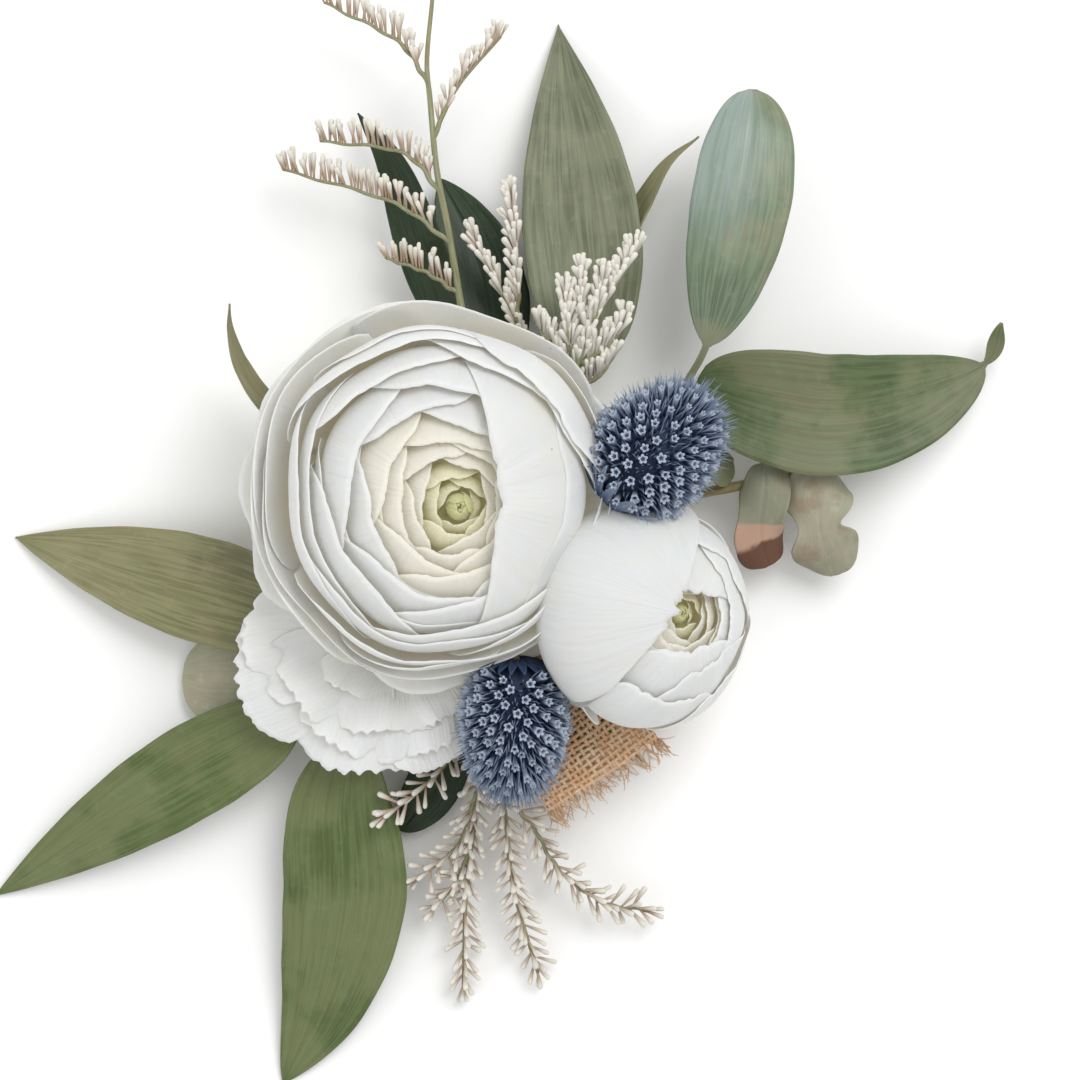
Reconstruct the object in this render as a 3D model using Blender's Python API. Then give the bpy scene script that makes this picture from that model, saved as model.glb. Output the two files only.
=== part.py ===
"""A wedding boutonniere lying on its back: ranunculus, carnation, blue thistle, statice, ruscus and
eucalyptus, their stems bound with floral tape and wrapped in burlap.

Sizes are in millimetres up to the last step of each piece, where MM turns them into metres.
+Z points up out of the flowers, +Y towards the tall leaf, and the burlap lies on z = 0.
"""

import math

import bmesh
import bpy
from mathutils import Matrix, Vector

MM = 0.001
UP = Vector((0.0, 0.0, 1.0))

# The bound stems: a straight bundle lying on the surface, pointing down and to the right.
NECK = Vector((-5.0, 8.7, 8.1))
BUNDLE_DOWN = Vector((0.555, -0.832, 0.0)).normalized()
BUNDLE_SIDE = Vector((0.832, 0.555, 0.0)).normalized()
BUNDLE_LENGTH = 35.0
STEM_RADIUS = 1.05
STEM_PITCH = 2.5
ROW_PITCH = 2.15
TAPE_INNER = 6.45
TAPE_WALL = 0.55
TAPE_LENGTH = 12.0

# The burlap wrap: a sleeve that flares to a frayed rim, flattened where it lies on the surface.
WRAP_WALL = 0.7
WRAP_START = 2.5
WRAP_LENGTH = 35.5
WRAP_NECK_RADIUS = 8.3
WRAP_RIM_HALF_WIDTH = 11.5
WRAP_RIM_HALF_HEIGHT = 7.6
WRAP_UNDER_HEIGHT = 9.8

LEAF_THICKNESS = 0.8
PETAL_THICKNESS = 0.7

# Large ranunculus: petals on nested bowls about one centre, the inner bowls shifted to the eye.
LARGE = {
    "centre": Vector((-13.7, 25.4, 34.0)),
    "axis": Vector((0.10, -0.05, 1.0)).normalized(),
    "depth": 0.72,
    "tall": 1.06,
    "heart": 12.4,
    "first": 14.3,
    "step": 1.65,
    "petals": 9,
    "shift": Vector((4.6, -1.8, 0.0)),
    "close": (132.0, 86.0),
    "spread": (58.0, 44.0),
}

# Small ranunculus: half open, facing right.
SMALL = {
    "centre": Vector((24.0, 2.6, 23.4)),
    "axis": Vector((0.46, -0.04, 0.88)).normalized(),
    "depth": 0.86,
    "tall": 1.05,
    "heart": 9.4,
    "first": 11.0,
    "step": 1.6,
    "petals": 5,
    "shift": Vector((1.2, 0.0, 0.0)),
    "close": (138.0, 104.0),
    "spread": (70.0, 56.0),
}

GOLDEN_ANGLE = 137.5

# Each ruscus and eucalyptus leaf: the points of its midrib from stalk to tip, its full width, the
# exponents (a, b) of its outline t^a (1-t)^b, its roll about the midrib at both ends, and its cup.
LEAVES = {
    "ruscus_leaf_left_upper": dict(
        spine=[(-31, 2.6, 10.2), (-46.6, 7.2, 9), (-64.9, 12.3, 5), (-85.1, 17.7, 0.42)],
        width=18.0, outline=(0.55, 0.95), roll=(-8, 6), cup=0.10,
    ),
    "ruscus_leaf_left_lower": dict(
        spine=[(-36, -12.2, 10), (-54.6, -22.6, 8), (-72.4, -33.6, 4.5), (-88.6, -44.0, 0.42)],
        width=16.0, outline=(0.45, 0.95), roll=(10, -4), cup=0.14,
    ),
    "ruscus_leaf_bottom": dict(
        spine=[(-26.5, -15.5, 8.6), (-28.6, -28, 8), (-28.2, -44.3, 5.4), (-32, -61.7, 2.8), (-39, -76.3, 0.42)],
        width=21.0, outline=(0.6, 0.85), roll=(0, 0), cup=0.10,
    ),
    "ruscus_leaf_top_centre": dict(
        spine=[(10.6, 43.5, 12.5), (12.8, 57.6, 13), (11.4, 78.3, 8.6), (8.3, 105.9, 0.42)],
        width=20.0, outline=(0.6, 0.85), roll=(4, -4), cup=0.12,
    ),
    "ruscus_leaf_top_right": dict(
        spine=[(29.9, 45.6, 17), (32.9, 51.8, 19), (37.4, 67.7, 21), (40.9, 82, 20.5), (41.6, 92.4, 17.5)],
        width=17.0, outline=(0.85, 0.4), roll=(0, 0), cup=-0.12,
    ),
    "ruscus_leaf_right": dict(
        spine=[(34.5, 43.0, 15), (42.5, 39.6, 16.5), (54, 38.2, 15), (67, 41, 10), (80.3, 47.4, 4.8), (83.6, 53.5, 7)],
        width=20.5, outline=(0.5, 0.85), roll=(6, -2), cup=0.10,
    ),
    "ruscus_leaf_behind_centre": dict(
        spine=[(7.0, 46.5, 6.2), (14.0, 59.5, 6.2), (22.4, 73.6, 8.6), (26.8, 80.8, 11.8), (31.8, 84.9, 15.9)],
        width=7.0, outline=(1.2, 0.9), roll=(-40, -62), cup=0.15,
    ),
    "ruscus_leaf_left_sliver": dict(
        spine=[(-33.5, 33, 10.4), (-41.3, 40.3, 13.4), (-45.0, 46.3, 19), (-46.1, 51.8, 25), (-45.7, 55.9, 30)],
        width=7.0, outline=(0.7, 0.9), roll=(48, 66), cup=0.15,
    ),
    "ruscus_leaf_dark_left": dict(
        spine=[(-9.4, 50.5, 9.5), (-15.2, 67.7, 9.4), (-20.0, 81.0, 8), (-25.9, 90.0, 6)],
        width=9.0, outline=(0.6, 0.95), roll=(-20, -34), cup=0.12,
    ),
    "ruscus_leaf_dark_right": dict(
        spine=[(-1.8, 46.5, 6.2), (-3.6, 57.5, 5.8), (-7.0, 68.6, 5), (-11.9, 79.1, 3.6)],
        width=14.5, outline=(0.55, 0.8), roll=(6, 6), cup=0.10,
    ),
    "ruscus_leaf_dark_bottom": dict(
        spine=[(-12.4, -7.0, 2.9), (-9.6, -15.0, 3.5), (-12.9, -24.4, 3.4), (-18.7, -32.7, 2.6)],
        width=9.5, outline=(1.0, 0.6), roll=(0, 0), cup=0.08,
    ),
    "eucalyptus_leaf_left": dict(
        spine=[(-34.5, -6.4, 3.8), (-46.0, -6.8, 3.3), (-56.2, -6.4, 2)],
        width=17.0, outline=(0.5, 0.42), roll=(0, 0), cup=0.08,
    ),
    "eucalyptus_leaf_curled": dict(
        spine=[(48.6, 29.6, 11.5), (52.3, 25.0, 12.2), (51.8, 18.6, 11), (55.6, 11.4, 7)],
        width=11.5, outline=(0.35, 0.35), roll=(-14, 16), cup=-0.28,
    ),
    "eucalyptus_leaf_folded": dict(
        spine=[(42.2, 30.4, 12.9), (42.0, 25.0, 13.4), (41.4, 18.4, 11.2), (43.6, 12.6, 7.6)],
        width=9.0, outline=(0.4, 0.4), roll=(16, -10), cup=-0.25,
    ),
    "eucalyptus_leaf_small": dict(
        spine=[(37.6, 27.4, 9.9), (35.8, 29.2, 11.6), (34.2, 32.4, 12)],
        width=5.6, outline=(0.5, 0.5), roll=(20, 30), cup=0.15,
    ),
}

# Stems of the flowers and leaves: the place of each in the bundle (column, row), then its way on.
STEMS = {
    "large_ranunculus_stem": ((-0.5, 1), [(-10.4, 16.2, 10.3), (-13.0, 21.4, 10.6), (-14.6, 25.4, 11.8)]),
    "small_ranunculus_stem": ((2, 0), [(2.0, 15.4, 8.4), (8.6, 13.0, 8.6), (14.4, 6.4, 9.6)]),
    "carnation_stem": ((-1.5, 1), [(-12.6, 10.6, 10.0), (-16.2, 8.6, 9.8), (-19.0, 4.6, 9.9)]),
    "upper_thistle_stem": ((1.5, 1), [(-2.2, 17.0, 10.6), (5.0, 20.4, 13.0), (13.0, 22.8, 20.8)]),
    "lower_thistle_stem": (
        (-1, 2),
        [(-8.4, 12.2, 12.9), (-5.6, 13.2, 13.8), (-3.4, 10.4, 16.4), (-2.2, 5.2, 18.7), (-0.4, 1.0, 22.2),
         (0.9, -1.8, 24.8), (1.05, -4.6, 25.2)],
    ),
    "ruscus_stem_left": ((-1, 0), [(-12.0, 14.4, 8.0), (-20.0, 11.8, 7.4), (-27.0, 5.4, 8.4)]),
    "ruscus_stem_sliver": ((0, 0), [(-11.2, 19.0, 7.9), (-22.0, 26.4, 8.0), (-30.6, 31.0, 9.6)]),
    "ruscus_stem_lower_left": ((-0.5, -1), [(-12.4, 13.0, 5.6), (-21.6, 4.4, 4.4), (-31.6, -9.2, 7.4)]),
    "ruscus_stem_bottom": ((-1.5, -1), [(-12.4, 8.0, 5.4), (-18.6, -1.6, 4.4), (-25.4, -12.4, 7.0)]),
    "ruscus_stem_top": ((0, -2), [(-9.6, 21.0, 3.4), (-5.6, 33.0, 3.4), (-2.4, 43.2, 5.4)]),
    "ruscus_stem_right": ((1, -2), [(-2.6, 20.4, 3.5), (8.0, 31.0, 5.6), (22.6, 38.8, 11.8), (30.4, 42.0, 14.8)]),
    "eucalyptus_stem": ((1.5, -1), [(1.2, 16.0, 5.8), (14.0, 20.6, 6.0), (28.0, 24.2, 8.6), (46.2, 27.8, 9.8)]),
}

# Statice sprigs: place in the bundle, route of the main stem, then side branches (start, middle, tip).
SPRIGS = {
    "statice_sprig_top": dict(
        place=(0.5, -1),
        route=[(-7.8, 20.0, 6.2), (-8.0, 35.0, 7.4), (-6.6, 48.0, 12.6), (-8.3, 57.6, 13.8), (-10.2, 69.2, 15.6),
               (-12.1, 79.1, 17.5), (-13.2, 90.7, 18.6), (-13.7, 97.3, 19.2), (-12.8, 107.2, 19.6), (-12.2, 114.4, 19.6)],
        branches=[
            [(-13.5, 93.5, 18.8), (-18.6, 100.5, 18.6), (-31.0, 107.2, 17.0)],
            [(-12.6, 84.6, 18.0), (-8.8, 92.6, 19.0), (-1.4, 101.2, 19.0)],
            [(-11.2, 75.0, 16.8), (-17.8, 82.0, 17.2), (-31.8, 84.2, 15.2)],
            [(-9.8, 67.0, 15.2), (-19.4, 73.8, 15.8), (-38.2, 79.6, 13.4)],
            [(-8.5, 58.6, 14.0), (-14.0, 62.2, 14.6), (-20.8, 64.6, 13.6)],
        ],
    ),
    "statice_sprig_middle": dict(
        place=(0.5, 1),
        route=[(-4.6, 21.6, 10.0), (4.0, 33.6, 10.6), (9.4, 39.6, 19.0), (11.6, 46.6, 24.0), (15.6, 56.0, 25.4), (21.4, 65.2, 25.6)],
        branches=[
            [(11.4, 46.0, 23.6), (9.4, 51.0, 25.0), (6.0, 55.4, 25.2)],
            [(13.0, 50.0, 24.6), (11.8, 56.0, 26.4), (10.4, 61.0, 26.8)],
            [(11.8, 47.0, 24.2), (17.0, 49.6, 24.6), (20.8, 54.2, 24.4)],
        ],
    ),
    "statice_sprig_back": dict(
        place=(1, 0),
        route=[(-5.0, 20.6, 7.9), (-1.8, 34.0, 7.6), (2.4, 46.0, 9.4), (2.0, 52.0, 11.6), (-1.6, 59.6, 13.4), (-6.4, 68.6, 14.2)],
        branches=[
            [(1.2, 54.0, 12.4), (1.6, 62.0, 14.2), (0.2, 75.6, 14.4)],
        ],
    ),
    "statice_sprig_lower_left": dict(
        place=(-2, 0),
        route=[(-12.6, 8.6, 8.0), (-14.8, 2.6, 7.8), (-13.0, -5.0, 8.0), (-8.6, -14.6, 8.6), (-5.4, -24.0, 8.2), (-7.4, -42.0, 5.0), (-8.0, -59.6, 2.4)],
        branches=[
            [(-8.0, -16.6, 8.5), (-13.6, -23.8, 10.0), (-21.0, -29.4, 10.8)],
            [(-5.6, -25.6, 8.0), (-8.6, -34.4, 7.2), (-15.6, -40.6, 5.6)],
            [(-6.8, -36.0, 6.2), (-9.4, -41.4, 5.8), (-13.2, -46.2, 4.6)],
        ],
    ),
    "statice_sprig_lower_right": dict(
        place=(-1, -2),
        route=[(-11.2, 10.8, 3.4), (-13.6, 4.6, 2.8), (-11.6, -4.0, 4.6), (-4.6, -17.0, 5.8), (-1.0, -28.4, 6.6), (0.6, -42.0, 5.4), (4.8, -57.0, 2.4)],
        branches=[
            [(-1.6, -26.6, 6.6), (3.6, -31.0, 7.0), (8.0, -38.4, 6.4), (15.4, -44.4, 5.4), (24.0, -46.3, 4.2)],
        ],
    ),
}

CARNATION_BASE = Vector((-20.4, 1.4, 14.0))

# Carnation petals: direction in degrees, length, width, start above the base, and height of the tip.
CARNATION_PETALS = [
    (205.0, 26.5, 19.0, 2.2, 23.6),
    (232.0, 24.0, 13.0, 0.2, 18.2),
    (262.0, 23.5, 19.5, 2.2, 22.4),
    (300.0, 20.6, 15.0, 0.2, 17.6),
]

THISTLES = {
    "upper_thistle": dict(
        centre=Vector((25.4, 32.6, 28.6)), axis=Vector((0.74, 0.64, 0.16)).normalized(), half_length=11.2, radius=9.4,
        ruff_radius=7.6,
    ),
    "lower_thistle": dict(
        centre=Vector((0.7, -15.4, 23.8)), axis=Vector((-0.03, -0.98, -0.12)).normalized(), half_length=10.6, radius=7.8,
        ruff_radius=7.4,
    ),
}

COLOURS = {
    "petal": (0.86, 0.85, 0.80, 0.55),
    "heart": (0.62, 0.65, 0.38, 0.6),
    "leaf": (0.20, 0.28, 0.13, 0.45),
    "dark_leaf": (0.05, 0.10, 0.05, 0.45),
    "eucalyptus": (0.42, 0.42, 0.33, 0.6),
    "stem": (0.25, 0.33, 0.15, 0.5),
    "thistle": (0.10, 0.16, 0.34, 0.6),
    "statice": (0.76, 0.72, 0.62, 0.8),
    "tape": (0.20, 0.30, 0.16, 0.6),
    "burlap": (0.60, 0.38, 0.20, 0.9),
}


def material(name):
    red, green, blue, roughness = COLOURS[name]
    made = bpy.data.materials.get(name)
    if made is None:
        made = bpy.data.materials.new(name)
        made.use_nodes = True
        shader = made.node_tree.nodes["Principled BSDF"]
        shader.inputs["Base Color"].default_value = (red, green, blue, 1.0)
        shader.inputs["Roughness"].default_value = roughness
        shader.inputs["Metallic"].default_value = 0.0
    return made


def add_object(name, data, finish):
    made = bpy.data.objects.new(name, data)
    bpy.context.scene.collection.objects.link(made)
    data.materials.append(material(finish))
    return made


def smooth_route(points, samples):
    """Evenly counted points on a smooth curve through the given ones."""
    points = [Vector(p) for p in points]
    spans = len(points) - 1
    padded = [2 * points[0] - points[1], *points, 2 * points[-1] - points[-2]]
    made = []
    for k in range(samples + 1):
        place = k * spans / samples
        span = min(int(place), spans - 1)
        t = place - span
        a, b, c, d = padded[span : span + 4]
        made.append(
            0.5 * (2 * b + (c - a) * t + (2 * a - 5 * b + 4 * c - d) * t * t + (3 * b - a - 3 * c + d) * t * t * t)
        )
    return made


def across(tangent, roll):
    """The sideways and facing directions of a blade that runs along tangent and faces up, rolled."""
    side = tangent.cross(UP).normalized()
    turned = Matrix.Rotation(math.radians(roll), 3, tangent) @ side
    return turned, turned.cross(tangent).normalized()


def tangent_at(route, k):
    return (route[min(k + 1, len(route) - 1)] - route[max(k - 1, 0)]).normalized()


def sheet_object(name, place, rows, columns, thickness, finish):
    """A grid of rows by columns whose vertices go where place(u, v) says, made solid."""
    mesh = bpy.data.meshes.new(name)
    grid = bmesh.new()
    bmesh.ops.create_grid(grid, x_segments=rows, y_segments=columns, size=1.0)
    for vertex in grid.verts:
        u, v = (vertex.co.x + 1) / 2, vertex.co.y
        vertex.co = place(u, v) * MM
    grid.to_mesh(mesh)
    grid.free()
    made = add_object(name, mesh, finish)
    solid = made.modifiers.new("thickness", "SOLIDIFY")
    solid.thickness = thickness * MM
    solid.offset = 0.0
    solid.use_rim = True
    mesh.shade_smooth()
    return made


def outline_width(t, exponents):
    """Width of a blade at t along it, as a share of its widest."""
    a, b = exponents
    widest = a / (a + b)
    return (t / widest) ** a * ((1 - t) / (1 - widest)) ** b


def leaf(name, spine, width, outline, roll, cup, finish, rows=9, columns=4):
    fine = 8 * rows
    route = smooth_route(spine, fine)
    stalk = 0.9

    def place(u, v):
        k = round(u * fine)
        half = max(stalk, width / 2 * outline_width(min(max(u, 0.004), 0.996), outline))
        side, face = across(tangent_at(route, k), roll[0] + (roll[1] - roll[0]) * u)
        return route[k] + side * (v * half) + face * (cup * half * v * v)

    sheet_object(name, place, rows, columns, LEAF_THICKNESS, finish)


def bundle_point(place, along):
    """A point in the bundle at (column, row), a distance along it below the neck."""
    column, row = place
    return NECK + BUNDLE_SIDE * (column * STEM_PITCH) + UP * (row * ROW_PITCH) + BUNDLE_DOWN * along


def tube(name, points, radii, finish):
    """A round stem along the points, tapered by the radii, with its ends filled."""
    curve = bpy.data.curves.new(name, "CURVE")
    curve.dimensions = "3D"
    curve.bevel_depth = MM
    curve.bevel_resolution = 1
    curve.use_fill_caps = True
    line = curve.splines.new("POLY")
    line.points.add(len(points) - 1)
    for spot, point, radius in zip(line.points, points, radii):
        spot.co = (*(point * MM), 1.0)
        spot.radius = radius
    return add_object(name, curve, finish)


def stem(name, place, way, finish="stem"):
    """A stem from its cut end in the bundle, straight up to the neck, then bending off."""
    cut = bundle_point(place, BUNDLE_LENGTH - 2.0)
    neck = bundle_point(place, 0.0)
    lead = bundle_point(place, -3.0)
    bend = smooth_route([neck, lead, *way], 3 * (len(way) + 1))
    points = [cut, *bend]
    tube(name, points, [STEM_RADIUS] * len(points), finish)


def mesh_from_curve(made):
    """Turns a curve object into a mesh object of the same name, so that a Boolean can take it."""
    graph = bpy.context.evaluated_depsgraph_get()
    mesh = bpy.data.meshes.new_from_object(made.evaluated_get(graph))
    name = made.name
    finish = made.data.materials[0].name
    bpy.data.objects.remove(made)
    welded = bmesh.new()
    welded.from_mesh(mesh)
    bmesh.ops.remove_doubles(welded, verts=welded.verts, dist=1e-6)
    bmesh.ops.recalc_face_normals(welded, faces=welded.faces)
    welded.to_mesh(mesh)
    welded.free()
    mesh.materials.clear()
    return add_object(name, mesh, finish)


def sprig(name, place, route, branches):
    """A statice sprig: a main stem from the bundle with side branches, joined into one solid."""
    cut = bundle_point(place, BUNDLE_LENGTH - 2.0)
    neck = bundle_point(place, 0.0)
    lead = bundle_point(place, -3.0)
    points = [cut, *smooth_route([neck, lead, *route], 2 * (len(route) + 1))]
    thick_from = 0.45 * len(points)
    radii = [0.8 + 0.45 * max(0.0, min(1.0, (k - thick_from) / 5)) for k in range(len(points))]
    radii[-1] = 0.7
    trunk = mesh_from_curve(tube(name, points, radii, "statice"))
    for number, way in enumerate(branches):
        line = smooth_route(way, 3 * (len(way) - 1))
        widths = [0.75 + 0.5 * math.sin(math.pi * k / (len(line) - 1)) for k in range(len(line))]
        branch = mesh_from_curve(tube(f"{name}_branch_{number}", line, widths, "statice"))
        branch.hide_render = True
        branch.display_type = "WIRE"
        union = trunk.modifiers.new(f"branch {number}", "BOOLEAN")
        union.operation = "UNION"
        union.object = branch


def flower_axes(flower):
    """The facing direction of a flower and two directions across it."""
    facing = flower["axis"]
    right = Vector((1.0, 0.0, 0.0))
    right = (right - facing * right.dot(facing)).normalized()
    return facing, right, facing.cross(right)


def bowl_point(flower, radius, polar, turn):
    """A point on one of the nested bowls: polar 0 is at the back, turn runs round the axis."""
    facing, right, top = flower_axes(flower)
    outermost = flower["first"] + flower["step"] * (flower["petals"] - 1)
    centre = flower["centre"] + flower["shift"] * (1 - radius / outermost)
    ring = radius * math.sin(polar)
    return (
        centre
        + right * (ring * math.cos(turn))
        + top * (ring * math.sin(turn) * flower["tall"])
        - facing * (radius * flower["depth"] * math.cos(polar))
    )


def ranunculus(name, flower):
    heart_polar = math.radians(158.0)
    back_polar = math.radians(14.0)

    def heart_profile(u, v):
        return bowl_point(flower, flower["heart"], back_polar + (heart_polar - back_polar) * u, v * math.pi)

    turned_body(f"{name}_heart", heart_profile, 8, 14, "heart")
    first_close, last_close = flower["close"]
    first_spread, last_spread = flower["spread"]
    for number in range(flower["petals"]):
        share = number / (flower["petals"] - 1)
        radius = flower["first"] + flower["step"] * number
        close = math.radians(first_close + (last_close - first_close) * share)
        spread = math.radians(first_spread + (last_spread - first_spread) * share)
        middle = math.radians(number * GOLDEN_ANGLE + 20.0)

        def place(u, v, radius=radius, close=close, spread=spread, middle=middle):
            reach = u * (1 - 0.10 * v * v)
            wide = spread * (0.45 + 0.55 * math.sin(math.pi / 2 * min(1.0, 1.5 * u)))
            return bowl_point(flower, radius, back_polar + (close - back_polar) * reach, middle + v * wide)

        sheet_object(f"{name}_petal_{number + 1:02d}", place, 7, 6, PETAL_THICKNESS, "petal")


def turned_body(name, place, rows, around, finish):
    """A closed body whose rings place(u, v) gives, from one pole at u = 0 to the other at u = 1."""
    mesh = bpy.data.meshes.new(name)
    body = bmesh.new()
    rings = [
        [body.verts.new(place(row / rows, -1 + 2 * k / around) * MM) for k in range(around)]
        for row in range(rows + 1)
    ]
    for low, high in zip(rings, rings[1:]):
        for k in range(around):
            body.faces.new((low[k], low[(k + 1) % around], high[(k + 1) % around], high[k]))
    body.faces.new(rings[0][::-1])
    body.faces.new(rings[-1])
    bmesh.ops.recalc_face_normals(body, faces=body.faces)
    body.to_mesh(mesh)
    body.free()
    mesh.shade_smooth()
    return add_object(name, mesh, finish)


def carnation():
    """Broad petals fanned from a small crumpled heart, tucked under the large ranunculus."""

    def heart(u, v):
        polar = 0.2 + (math.pi - 0.4) * u
        ring = 5.2 * math.sin(polar)
        centre = CARNATION_BASE + Vector((0.6, 1.2, 0.0))
        return centre + Vector((ring * math.cos(v * math.pi), ring * math.sin(v * math.pi), -2.6 * math.cos(polar)))

    turned_body("carnation_heart", heart, 6, 12, "petal")
    for number, (direction, length, width, lift, tip_height) in enumerate(CARNATION_PETALS):
        heading = math.radians(direction)
        out = Vector((math.cos(heading), math.sin(heading), 0.0))
        side = Vector((-out.y, out.x, 0.0))
        start = CARNATION_BASE + out * 6.4 + UP * lift
        rise = tip_height - start.z

        def place(u, v, out=out, side=side, start=start, rise=rise, length=length, width=width):
            half = width / 2 * (0.22 + 0.78 * math.sin(math.pi / 2 * min(1.0, 1.15 * u)))
            reach = (length - 6.4) * u * (1 - 0.10 * v * v)
            height = rise * math.sin(math.pi / 2 * u) + 0.6 * v * v * u
            return start + out * reach + side * (half * v) + UP * height

        sheet_object(f"carnation_petal_{number + 1}", place, 6, 5, PETAL_THICKNESS, "petal")


def thistle(name, centre, axis, half_length, radius, ruff_radius):
    side = axis.cross(UP).normalized()
    face = side.cross(axis).normalized()

    def head(u, v):
        polar = 0.35 + (math.pi - 0.6) * u
        ring = radius * math.sin(polar) ** 0.9
        turn = v * math.pi
        return centre - axis * (half_length * math.cos(polar)) + (side * math.cos(turn) + face * math.sin(turn)) * ring

    turned_body(f"{name}_head", head, 9, 14, "thistle")
    points = 9
    ruff_base = centre - axis * (half_length * 0.95 + 1.4)

    def ruff(u, v):
        star = 1.0 if round((v + 1) * points) % 2 == 0 else 0.72
        reach = 3.0 + (ruff_radius * star - 3.0) * u
        turn = v * math.pi
        lift = 3.0 * u * u - 1.2
        return ruff_base + axis * lift + (side * math.cos(turn) + face * math.sin(turn)) * reach

    ring_sheet(f"{name}_ruff", ruff, 2, 2 * points, 0.6, "thistle")


def ring_sheet(name, place, rows, around, thickness, finish):
    """A ring-shaped sheet, closed round its axis and made solid."""
    mesh = bpy.data.meshes.new(name)
    body = bmesh.new()
    rings = [
        [body.verts.new(place(row / rows, -1 + 2 * k / around) * MM) for k in range(around)]
        for row in range(rows + 1)
    ]
    for low, high in zip(rings, rings[1:]):
        for k in range(around):
            body.faces.new((low[k], low[(k + 1) % around], high[(k + 1) % around], high[k]))
    bmesh.ops.recalc_face_normals(body, faces=body.faces)
    body.to_mesh(mesh)
    body.free()
    made = add_object(name, mesh, finish)
    solid = made.modifiers.new("thickness", "SOLIDIFY")
    solid.thickness = thickness * MM
    solid.offset = 0.0
    mesh.shade_smooth()
    return made


def calyx():
    """Green sepals cupping the back of the large ranunculus."""
    outermost = LARGE["first"] + LARGE["step"] * (LARGE["petals"] - 1)
    points = 5

    def place(u, v):
        star = 0.72 + 0.28 * math.cos(points * v * math.pi)
        polar = math.radians(8.0 + 22.0 * u * (0.4 + 0.6 * star if u > 0.5 else 1.0))
        return bowl_point(LARGE, outermost + 1.6, polar, v * math.pi)

    ring_sheet("large_ranunculus_calyx", place, 2, 20, PETAL_THICKNESS, "stem")


def tape():
    """Floral tape wound round the bundle at the neck."""

    def place(u, v):
        along = -1.0 + TAPE_LENGTH * u
        turn = v * math.pi
        radius = TAPE_INNER + TAPE_WALL / 2
        return NECK + BUNDLE_DOWN * along + BUNDLE_SIDE * (radius * math.cos(turn)) + UP * (radius * math.sin(turn))

    ring_sheet("floral_tape", place, 2, 24, TAPE_WALL, "tape")


def burlap_wrap():
    """The burlap sleeve, one wall thick, its underside flat on the surface."""
    mesh = bpy.data.meshes.new("burlap_wrap")
    body = bmesh.new()
    around, rows = 24, 5

    def ring_point(share, turn, inset):
        half_width = WRAP_NECK_RADIUS + (WRAP_RIM_HALF_WIDTH - WRAP_NECK_RADIUS) * share**1.3 - inset
        half_height = WRAP_NECK_RADIUS + (WRAP_RIM_HALF_HEIGHT - WRAP_NECK_RADIUS) * share - inset
        if math.sin(turn) < 0.0:
            half_height = WRAP_UNDER_HEIGHT - inset
        spot = NECK + BUNDLE_DOWN * (WRAP_START + WRAP_LENGTH * share)
        spot = spot + BUNDLE_SIDE * (half_width * math.cos(turn)) + UP * (half_height * math.sin(turn))
        spot.z = max(spot.z, inset)
        return spot * MM

    layers = [
        [
            [body.verts.new(ring_point(row / rows, 2 * math.pi * k / around, inset)) for k in range(around)]
            for row in range(rows + 1)
        ]
        for inset in (0.0, WRAP_WALL)
    ]
    for rings in layers:
        for low, high in zip(rings, rings[1:]):
            for k in range(around):
                body.faces.new((low[k], low[(k + 1) % around], high[(k + 1) % around], high[k]))
    for row in (0, rows):
        outer, inner = layers[0][row], layers[1][row]
        for k in range(around):
            body.faces.new((outer[k], outer[(k + 1) % around], inner[(k + 1) % around], inner[k]))
    bmesh.ops.recalc_face_normals(body, faces=body.faces)
    body.to_mesh(mesh)
    body.free()
    add_object("burlap_wrap", mesh, "burlap")


def leaf_finish(name):
    if name.startswith("eucalyptus"):
        return "eucalyptus"
    return "dark_leaf" if "dark" in name else "leaf"


def main():
    for old in list(bpy.data.objects):
        bpy.data.objects.remove(old, do_unlink=True)
    for name, shape in LEAVES.items():
        leaf(name, finish=leaf_finish(name), **shape)
    for name, (place, way) in STEMS.items():
        stem(name, place, way)
    for name, shape in SPRIGS.items():
        sprig(name, **shape)
    ranunculus("large_ranunculus", LARGE)
    ranunculus("small_ranunculus", SMALL)
    calyx()
    carnation()
    for name, shape in THISTLES.items():
        thistle(name, **shape)
    tape()
    burlap_wrap()


main()
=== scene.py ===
"""A rustic wedding boutonniere, lying on its back: ranunculus, carnation, blue thistle, statice, ruscus
and eucalyptus, bound and wrapped in burlap.

Lengths in the tables and the shape functions are in millimetres. Patchwork.build turns them into metres.
"""

import math

import bpy
import numpy as np
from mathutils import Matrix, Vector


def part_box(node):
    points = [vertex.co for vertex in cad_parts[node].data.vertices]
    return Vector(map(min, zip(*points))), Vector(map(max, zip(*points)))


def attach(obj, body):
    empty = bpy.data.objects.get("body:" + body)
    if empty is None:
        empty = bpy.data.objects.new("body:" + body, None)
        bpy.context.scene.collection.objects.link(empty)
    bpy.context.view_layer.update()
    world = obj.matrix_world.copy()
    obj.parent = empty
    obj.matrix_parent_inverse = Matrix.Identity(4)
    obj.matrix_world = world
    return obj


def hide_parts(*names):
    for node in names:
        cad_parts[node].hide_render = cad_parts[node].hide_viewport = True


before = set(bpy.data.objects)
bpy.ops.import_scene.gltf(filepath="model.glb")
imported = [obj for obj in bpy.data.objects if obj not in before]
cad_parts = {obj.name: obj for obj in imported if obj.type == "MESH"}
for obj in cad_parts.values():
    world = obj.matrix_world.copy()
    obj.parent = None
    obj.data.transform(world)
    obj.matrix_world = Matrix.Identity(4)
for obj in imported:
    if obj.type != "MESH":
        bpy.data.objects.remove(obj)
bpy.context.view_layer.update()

bl_info = {
    "name": "Boutonniere",
    "version": (1, 0, 0),
    "blender": (4, 5, 0),
    "location": "View3D > Sidebar > Boutonniere",
    "description": "Builds a ranunculus, thistle and ruscus boutonniere around its solid model",
    "category": "Object",
}

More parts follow.
